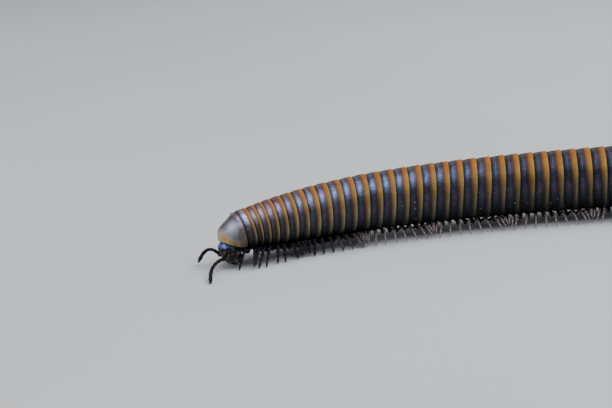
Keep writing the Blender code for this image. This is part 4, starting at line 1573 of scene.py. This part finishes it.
@dataclass(frozen=True)
class Feelers:
    """Feelers of seven articles with a bend near the middle, fine hairs and four cones at the tip."""

    shape: HeadShape = HeadShape()
    limbs: Limbs = Limbs(rows=14, columns=18, overlap=0.04)
    left_knee: Triple = (2.8 * MM, 1.0 * MM, 0.1 * MM)
    left_tip: Triple = (4.2 * MM, 5.07 * MM, 0.0)
    right_knee: Triple = (1.4 * MM, -0.8 * MM, 2.4 * MM)
    right_tip: Triple = (2.1 * MM, -3.2 * MM, -1.1 * MM)
    left_tip_height: float = 0.25 * MM
    root_radius: float = 0.26 * MM
    tip_radius: float = 0.22 * MM
    ends: tuple[float, ...] = (0.0, 0.09, 0.27, 0.43, 0.59, 0.78, 0.95, 1.0)
    girth: tuple[float, ...] = (1.0, 0.92, 0.92, 0.95, 1.12, 1.18, 0.70)
    hairs_per_article: int = 26
    hair_span: Pair = (0.15, 0.95)
    hair_shares: Pair = (0.6, 1.1)
    hair_forward: float = 1.1
    hair_length: float = 0.15 * MM
    hair_radius: float = 0.009 * MM
    cone: Pair = (0.08 * MM, 0.03 * MM)
    cone_spacing: float = 0.045 * MM
    seed: int = 8

    def curve(self, place: Place, side: int, share: Array) -> Array:
        """Points of the centre line, a quadratic curve from the socket over the knee to the tip.

        Args:
            place: The head's frame.
            side: 1 for the left, -1 for the right.
            share: Shares of the way from the root to the tip.

        Returns:
            Points, one for each share.
        """
        root = place.out(self.shape.on(self.shape.socket, side))
        forward = place.way((1.0, 0.0, 0.0)) * np.array((1.0, 1.0, 0.0))
        axes = np.stack((unit(forward), place.way((0.0, 1.0, 0.0)), UPRIGHT))
        bend, end = (self.left_knee, self.left_tip) if side > 0 else (self.right_knee, self.right_tip)
        knee, tip = root + np.array(bend) @ axes, root + np.array(end) @ axes
        if side > 0:
            tip[2] = self.left_tip_height
        share = share[..., None]
        return root * (1 - share) ** 2 + knee * 2 * share * (1 - share) + tip * share**2

    def hairs(self, joints: Array, thick: Array, thin: Array, chance: np.random.Generator) -> Array:
        """Hairs at drawn places and angles on all articles but the first.

        Args:
            joints: Ends of the articles.
            thick: Radii at their roots.
            thin: Radii at their ends.
            chance: Draws the places, angles and lengths.

        Returns:
            The grid of points.
        """
        article = np.repeat(np.arange(1, len(thick)), self.hairs_per_article)
        spot = chance.uniform(*self.hair_span, len(article))
        way = np.diff(joints, axis=0)[article]
        axis = unit(way)
        angle = chance.uniform(0.0, math.tau, len(article))[:, None]
        aside, other = across(axis)
        outward = np.cos(angle) * aside + np.sin(angle) * other
        radius = (thick[article] * (1 - spot) + thin[article] * spot)[:, None]
        roots = joints[article] + way * spot[:, None] + outward * radius * 0.9
        lengths = self.hair_length * chance.uniform(*self.hair_shares, len(article))
        return self.limbs.hairs(roots, outward + self.hair_forward * axis, lengths, self.hair_radius)

    def cones(self, tip: Array, axis: Array) -> Array:
        """The four cones at a feeler's tip, set square round its axis.

        Args:
            tip: The feeler's end.
            axis: Its direction there.

        Returns:
            The grid of points.
        """
        corner = np.array(((1, 1), (1, -1), (-1, 1), (-1, -1))) * self.cone_spacing
        sideways = corner @ np.stack(across(axis))
        length, radius = self.cone
        return self.limbs.hairs(tip + sideways, sideways + 0.2 * MM * axis, np.full(4, length), radius)

    def build(self, place: Place, material: Material) -> None:
        """Makes both feelers.

        Args:
            place: The head's frame.
            material: The feelers' finish.
        """
        chance = np.random.default_rng(self.seed)
        along, girth = np.array(self.ends), np.array(self.girth)
        radii = self.root_radius + (self.tip_radius - self.root_radius) * along
        thick, thin = radii[:-1] * girth, radii[1:] * girth
        for side, name in ((1, "left"), (-1, "right")):
            joints = self.curve(place, side, along)
            starts, ends = joints[:-1], joints[1:]
            grid, share = self.limbs.segments(starts, ends, thick, thin)
            reach = along[:-1, None, None] + np.diff(along)[:, None, None] * np.clip(share, 0.0, 1.0)
            rim = hump(share, 0.0, 0.07) + 0.6 * hump(share, 1.0, 0.05)
            mesh = SurfaceMesh(f"feeler_{name}")
            mesh.add(grid, reach=reach, front=0.0, joint=rim)
            mesh.add(self.hairs(joints, thick, thin, chance), reach=0.9, front=0.0, joint=0.2)
            mesh.add(self.cones(ends[-1], unit(ends[-1] - starts[-1])), reach=0.0, front=0.0, joint=1.0)
            mesh.build(material, Slot.FEELER, f"antenna_{name}")


@dataclass(frozen=True)
class Collar:
    """Collar plate: a hood over the back of the head, with a raised border along its lower and front edge."""

    reach: float = 2.85 * MM
    radius: float = 2.54 * MM
    height: float = 2.36 * MM
    crown_fall: float = 0.75
    crown_bulge: float = 1.6
    side_bulge: float = 1.8
    front_bulge: float = 3.0
    squareness: float = 4.0
    square_from: float = 0.4
    edge_drop: float = 2.15 * MM
    edge_slope: float = math.radians(22.5)
    wall: float = 0.17 * MM
    inside: Triple = (0.5 * MM, 0.0, -1.3 * MM)
    border_behind: float = 0.50 * MM
    border_in_front: float = 0.90 * MM
    border_rise: float = 0.05 * MM
    border_groove: float = 0.02 * MM
    # Middle and size of the painted highlight on each flank.
    painted_highlight_middle: Triple = (1.12 * MM, 1.55 * MM, 0.95 * MM)
    painted_highlight_size: Triple = (1.20 * MM, 0.95 * MM, 1.05 * MM)
    rows: int = 96
    columns: int = 200
    halvings: int = 40

    def outside(self, points: Array) -> Array:
        """How far outside the dome each point lies.

        At the share s = x / reach the section is an oval |y / w|^n + |z / h|^n. Its half width w is
        radius (1 - s^p)^(1/p), its height above is height (1 - s^q)^(1/r), and its depth below closes as the
        width does, with a blunter power. The power n is 2 above and grows to the squareness below.

        Args:
            points: Points in the head's frame.

        Returns:
            1 on the dome's surface, less within, more beyond.
        """
        share = np.clip(points[..., 0] / self.reach, 0.0, 0.99999)
        width = self.radius * (1.0 - share**self.side_bulge) ** (1.0 / self.side_bulge)
        above = self.height * (1.0 - share**self.crown_fall) ** (1.0 / self.crown_bulge)
        below = self.radius * (1.0 - share**self.front_bulge) ** (1.0 / self.front_bulge)
        upper = points[..., 2] >= 0.0
        power = np.where(upper, 2.0, 2.0 + (self.squareness - 2.0) * smooth(share / self.square_from))
        level = np.abs(points[..., 2]) / np.where(upper, above, below)
        return (np.abs(points[..., 1]) / width) ** power + level**power

    def dome(self) -> Array:
        """The plate's outer face, as folds of a hood hinged at the rear edge's lower corners.

        Each row lies in a plane through the line that joins both corners, from the upright plane of the rear
        edge to the sloping plane of the lower edge. Its columns are rays from the middle of that line, and
        halving finds where each ray leaves the dome.

        Returns:
            Points as (rows, columns, 3).
        """
        fold = np.linspace(0.0, 1.0, self.rows) * (0.5 * math.pi - self.edge_slope)
        fold, sweep = np.meshgrid(fold, np.linspace(0.0, math.pi, self.columns), indexing="ij")
        ways = np.stack((np.sin(sweep) * np.sin(fold), np.cos(sweep), np.sin(sweep) * np.cos(fold)), axis=-1)
        hinge = -self.edge_drop * UPRIGHT
        near, far = np.zeros(ways.shape[:-1]), np.full(ways.shape[:-1], 3.0 * self.reach)
        for _ in range(self.halvings):
            middle = 0.5 * (near + far)
            within = self.outside(hinge + ways * middle[..., None]) < 1.0
            near, far = np.where(within, middle, near), np.where(within, far, middle)
        return hinge + ways * near[..., None]

    def build(self, plan: BodyPlan, place: Place, rear_play: float, material: Material) -> None:
        """Makes the plate: the dome's outer face, a bead along its lower edge, and an inner face behind it.

        Args:
            plan: The body's driving sizes.
            place: The head's frame.
            rear_play: How far the plate reaches back over the next ring.
            material: Its finish.
        """
        outer = self.dome()
        x, y, z = (outer[..., axis].copy() for axis in range(3))
        over_edge = (z + self.edge_drop - x * math.tan(self.edge_slope)) * math.cos(self.edge_slope)
        front = smooth(x, 0.45 * self.reach, 0.95 * self.reach)
        border = over_edge / (self.border_behind + (self.border_in_front - self.border_behind) * front)
        away = np.stack((x, np.abs(y), z), axis=-1) - np.array(self.painted_highlight_middle)
        inward = unit(np.array(self.inside) - outer)
        bead = self.border_rise * hump(border, 0.35, 0.45) - self.border_groove * hump(border, 1.15, 0.25)
        around = np.arctan2(y, z + 1.0 * MM)
        waves = 0.006 * MM * np.sin(9.0 * around + x / (0.35 * MM)) + 0.004 * MM * np.sin(23.0 * around)
        outer = outer - inward * (bead + waves)[..., None]
        outer[..., 0] -= rear_play * smooth(x, 0.5 * MM, 0.0)
        thin = self.wall * (0.4 + 0.6 * smooth(border, 0.0, 0.6))
        loop = np.concatenate((outer, (outer + inward * thin[..., None])[:, ::-1]), axis=1)
        fading = 1.0 - np.clip(loop[..., 0] / self.reach, 0.0, 1.0)
        loop[..., 0] -= fading * plan.slant(2.0, loop[..., 1], loop[..., 2])
        # Painted highlight: a soft blot on each upper flank of the dome.
        painted_highlight = np.exp(-np.sum((away / np.array(self.painted_highlight_size)) ** 2, axis=-1))
        mesh = SurfaceMesh("collar_plate")
        mesh.add(
            place.out(loop),
            cap=Cap.STRIP,
            border=np.concatenate((border, 0.0 * border), axis=1),
            **{
                name: np.concatenate((value, value[:, ::-1]), axis=1)
                for name, value in (("rear", x), ("up", z / self.height), ("front", front), ("painted_highlight", painted_highlight))
            },
        )
        mesh.build(material, Slot.SHELL, "collum", weld=True)


@dataclass(frozen=True)
class Tail:
    """Tail piece that closes to a blunt point over two valves."""

    length: float = 2.0 * MM
    to_last_ring: float = 0.93
    rows: int = 44
    tuck_share: float = 0.22
    fall: Pair = (0.64, 2.2)
    lip: float = 0.07 * MM
    point: float = 0.30 * MM
    point_width: float = 0.42
    groove: tuple[float, float, float] = (0.05 * MM, 0.35 * MM, 0.06 * MM)
    valve_radii: Triple = (1.75 * MM, 1.45 * MM, 1.10 * MM)
    valve_lip: float = 0.10 * MM
    valve_gap: float = 0.05 * MM
    valve_shift: Triple = (0.12 * MM, 0.0, -0.05 * MM)
    columns: int = 150

    def add_cover(self, mesh: SurfaceMesh, tail: RingPlace, radius: float) -> None:
        """Adds the turned tail piece, whose radius falls as sqrt(1 - fall t^power) to its open rear edge.

        Args:
            mesh: The mesh to add to.
            tail: The tail piece's place.
            radius: Its radius in front.
        """
        share = np.linspace(-self.tuck_share, 1.0, self.rows)
        along = share * self.length
        fall, power = self.fall
        outline = np.sqrt(np.maximum(0.0, 1.0 - fall * np.maximum(share, 0.0) ** power))
        depth, at, width = self.groove
        spread = radius * outline - depth * hump(along, at, width)
        spread = spread - 0.06 * radius * smooth(-share, -0.02, 0.15)
        quarter = np.linspace(0.0, 0.5 * math.pi, 6)[1:]
        lip, top = self.lip, spread[-1]
        inner_along = self.length - np.array((0.1, 0.3)) * MM
        along = np.concatenate((along, self.length + lip * np.sin(quarter), inner_along))
        spread = np.concatenate((spread, top - lip + lip * np.cos(quarter), top * np.array((0.88, 0.4))))
        angle = np.linspace(-math.pi, math.pi, self.columns, endpoint=False)
        along, angle = np.meshgrid(along, angle, indexing="ij")
        pointed = smooth(along, 0.45 * self.length, self.length + lip)
        along = along + self.point * hump(angle, 0.0, self.point_width) * pointed
        left, up = spread[:, None] * np.sin(angle), spread[:, None] * np.cos(angle)
        mesh.add(
            tail.place.out(np.stack((along, left, up), axis=-1)),
            along=np.clip(along / self.length, 0.0, 1.1) * 0.97,
            up=np.cos(angle),
            side=np.sin(angle),
            front=0.0,
            aft=1.0,
        )

    def valve(self, side: int) -> Array:
        """Points of one valve: at each height, a quarter oval from the middle line round to the front.

        Args:
            side: 1 for the left valve, -1 for the right one.

        Returns:
            Points as (rows, columns, 3), along, left and up from the valves' base.
        """
        high, wide, deep = self.valve_radii
        level = np.sin(np.linspace(-0.5 * math.pi, 0.5 * math.pi, 42))[1:-1, None]
        room = np.sqrt(1.0 - level**2)
        arc = np.linspace(0.0, 0.5 * math.pi, 30)[None, :]
        lip = self.valve_lip * hump(arc, 0.10, 0.13)
        out = (wide * np.sin(arc) + 0.5 * lip) * room + self.valve_gap
        behind = (deep * np.cos(arc) + lip) * room
        front_out = np.linspace(1.0, 0.0, 8)[None, 1:] * (out[:, -1:] - self.valve_gap) + self.valve_gap
        inner_behind = np.linspace(0.0, 1.0, 9)[None, 1:-1] * behind[:, :1]
        out = np.concatenate((out, front_out, np.full_like(inner_behind, self.valve_gap)), axis=1)
        behind = np.concatenate((behind, np.zeros_like(front_out), inner_behind), axis=1)
        return np.stack((behind, side * out, high * level + 0.0 * out), axis=-1) + np.array(self.valve_shift)

    def build(self, rings: Rings, last: int, material: Material) -> None:
        """Makes the cover and both valves.

        Args:
            rings: The rings' places.
            last: Number of the last ring.
            material: The shells' finish.
        """
        tail = rings[last + 1]
        mesh = SurfaceMesh("tail_cover")
        self.add_cover(mesh, tail, rings[last].radius * self.to_last_ring)
        mesh.build(material, Slot.SHELL, "telson")
        base = Place(tail.start + tail.backward * self.length, tail.place.axes)
        for side, name in ((1, "left"), (-1, "right")):
            grid = self.valve(side)
            mesh = SurfaceMesh(f"tail_valve_{name}")
            up = 0.35 * grid[..., 2] / self.valve_radii[0] + 0.1
            shade = 0.25 + 0.62 * smooth(0.30 * MM - np.abs(grid[..., 1]), -0.35 * MM, 0.25 * MM)
            mesh.add(base.out(grid), along=shade, up=up, side=side * 0.5, front=0.0, aft=1.0)
            mesh.build(material, Slot.SHELL, f"anal_valve_{name}")


@dataclass(frozen=True)
class Lamp:
    """A soft rectangular light that faces the model.

    Its azimuth runs from the camera's side towards +X and its elevation from the floor, both in degrees. Its
    power is pi times its area times its radiance.
    """

    name: str
    azimuth: float
    elevation: float
    distance: float
    sides: Pair
    radiance: float
    colour: Triple

    def build(self) -> None:
        """Adds the light to the scene."""
        turn, rise = math.radians(self.azimuth), math.radians(self.elevation)
        way = Vector((math.sin(turn) * math.cos(rise), -math.cos(turn) * math.cos(rise), math.sin(rise)))
        data = bpy.data.lights.new(self.name, "AREA")
        data.shape, data.size, data.size_y, data.color = "RECTANGLE", *self.sides, self.colour
        data.energy = math.pi * self.sides[0] * self.sides[1] * self.radiance
        lamp = bpy.data.objects.new(self.name, data)
        bpy.context.scene.collection.objects.link(lamp)
        lamp.location = way * self.distance
        lamp.rotation_euler = way.to_track_quat("Z", "Y").to_euler()


@dataclass(frozen=True)
class Studio:
    """Plain pale floor, soft lights and the camera of the photograph."""

    camera_place: Triple = (11.66 * MM, -182.94 * MM, 53.2 * MM)
    camera_down: float = math.radians(14.0)
    camera_roll: float = math.radians(5.75)
    view_width: float = math.radians(24.0)
    floor_half: float = 4.0
    surroundings: Triple = (0.80, 0.84, 0.90)
    surroundings_strength: float = 0.20
    lamps: tuple[Lamp, ...] = (
        Lamp("sky", 80.0, 66.0, 0.64, (0.80, 0.68), 3.2, (0.93, 0.97, 1.0)),
        Lamp("side", 55.0, 22.0, 0.70, (0.45, 0.30), 1.5, (0.93, 0.97, 1.0)),
        Lamp("front", -75.0, 32.0, 0.60, (0.45, 0.40), 1.8, (0.93, 0.96, 1.0)),
        Lamp("back", 170.0, 30.0, 0.70, (0.60, 0.30), 0.6, (1.0, 0.98, 0.95)),
    )

    def camera(self, footprint_middle: Pair) -> None:
        """Sets the camera at the photograph's angle: looking along +Y, tipped down and rolled a little.

        Args:
            footprint_middle: Middle of the model's footprint, in the frame of the camera's place.
        """
        down, roll = self.camera_down, self.camera_roll
        ahead = np.array((0.0, math.cos(down), -math.sin(down)))
        above = np.array((0.0, math.sin(down), math.cos(down)))
        aside = np.array((1.0, 0.0, 0.0))
        right = math.cos(roll) * aside - math.sin(roll) * above
        up = math.sin(roll) * aside + math.cos(roll) * above
        data = bpy.data.cameras.new("camera")
        data.sensor_fit = "HORIZONTAL"
        data.angle = self.view_width
        data.clip_start, data.clip_end = 1.0 * MM, 20.0
        camera = bpy.data.objects.new("camera", data)
        bpy.context.scene.collection.objects.link(camera)
        matrix = Matrix(np.stack((right, up, -ahead), axis=-1).tolist()).to_4x4()
        shift = Vector((*footprint_middle, 0.0))
        camera.matrix_world = Matrix.Translation(Vector(self.camera_place) - shift) @ matrix
        bpy.context.scene.camera = camera

    def floor(self) -> None:
        """Lays the floor, a pale sheet with a faint unevenness in its tone."""
        half = self.floor_half
        mesh = bpy.data.meshes.new("floor")
        corners = ((-half, -half, 0), (half, -half, 0), (half, half, 0), (-half, half, 0))
        mesh.from_pydata(corners, (), ((0, 1, 2, 3),))
        paint = Paint("floor_paper", Roughness=0.85)
        tone = paint.ramp(paint.noise(0.12, 2.0), (30, 660, 670, 680), (70, 720, 725, 730))
        mesh.materials.append(paint.dress(Base_Color=tone))
        floor = bpy.data.objects.new("floor", mesh)
        bpy.context.scene.collection.objects.link(floor)

    def build(self, footprint_middle: Pair) -> None:
        """Sets up the floor, the lights, the surrounding grey and the camera.

        Args:
            footprint_middle: Middle of the model's footprint, in the frame of the camera's place.
        """
        self.floor()
        for lamp in self.lamps:
            lamp.build()
        world = bpy.data.worlds.new("surroundings")
        world.use_nodes = True
        shade = world.node_tree.nodes["Background"]
        shade.inputs["Color"].default_value = (*self.surroundings, 1.0)
        shade.inputs["Strength"].default_value = self.surroundings_strength
        bpy.context.scene.world = world
        self.camera(footprint_middle)


def main() -> None:
    """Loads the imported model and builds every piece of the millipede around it."""
    logging.basicConfig(level=logging.INFO, format="%(name)s: %(message)s")
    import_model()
    plan = BodyPlan()
    rings = plan.rings()
    effects = SharedEffects()
    shell = ShellFinish(effects).make()
    # On the legs the near-black stretch from the root to the knee is partly painted shade under the body.
    legs = LimbFinish(
        effects, "leg_chitin",
        ((0, 4, 3, 4), (42, 10, 7, 10), (60, 130, 95, 105), (80, 360, 290, 310), (100, 230, 170, 160)),
        ((0, 4, 3, 4), (50, 5, 3, 7), (80, 8, 5, 11), (100, 16, 10, 14)),
        (0.07, 0.045, 0.05),
    ).make()
    feeler = LimbFinish(
        effects, "feeler_chitin",
        ((0, 30, 18, 16), (50, 14, 8, 14), (100, 10, 7, 18)),
        ((0, 30, 18, 16), (100, 10, 7, 18)),
        (0.06, 0.035, 0.03),
    ).make()
    ShellRings().build(plan, rings, shell)
    WalkingLegs().build(plan, rings, legs)
    place = HeadShape().place(rings[1], plan.collar_length)
    Head().build(place, HeadFinish(effects).make())
    Eyes().build(place, EyeFinish(effects).make())
    Feelers().build(place, feeler)
    Collar().build(plan, place, plan.gap - ShellRings.rear_play, CollarFinish(effects).make())
    Tail().build(rings, plan.last_ring, shell)
    Studio().build(plan.footprint_middle)


if __name__ == "__main__":
    main()
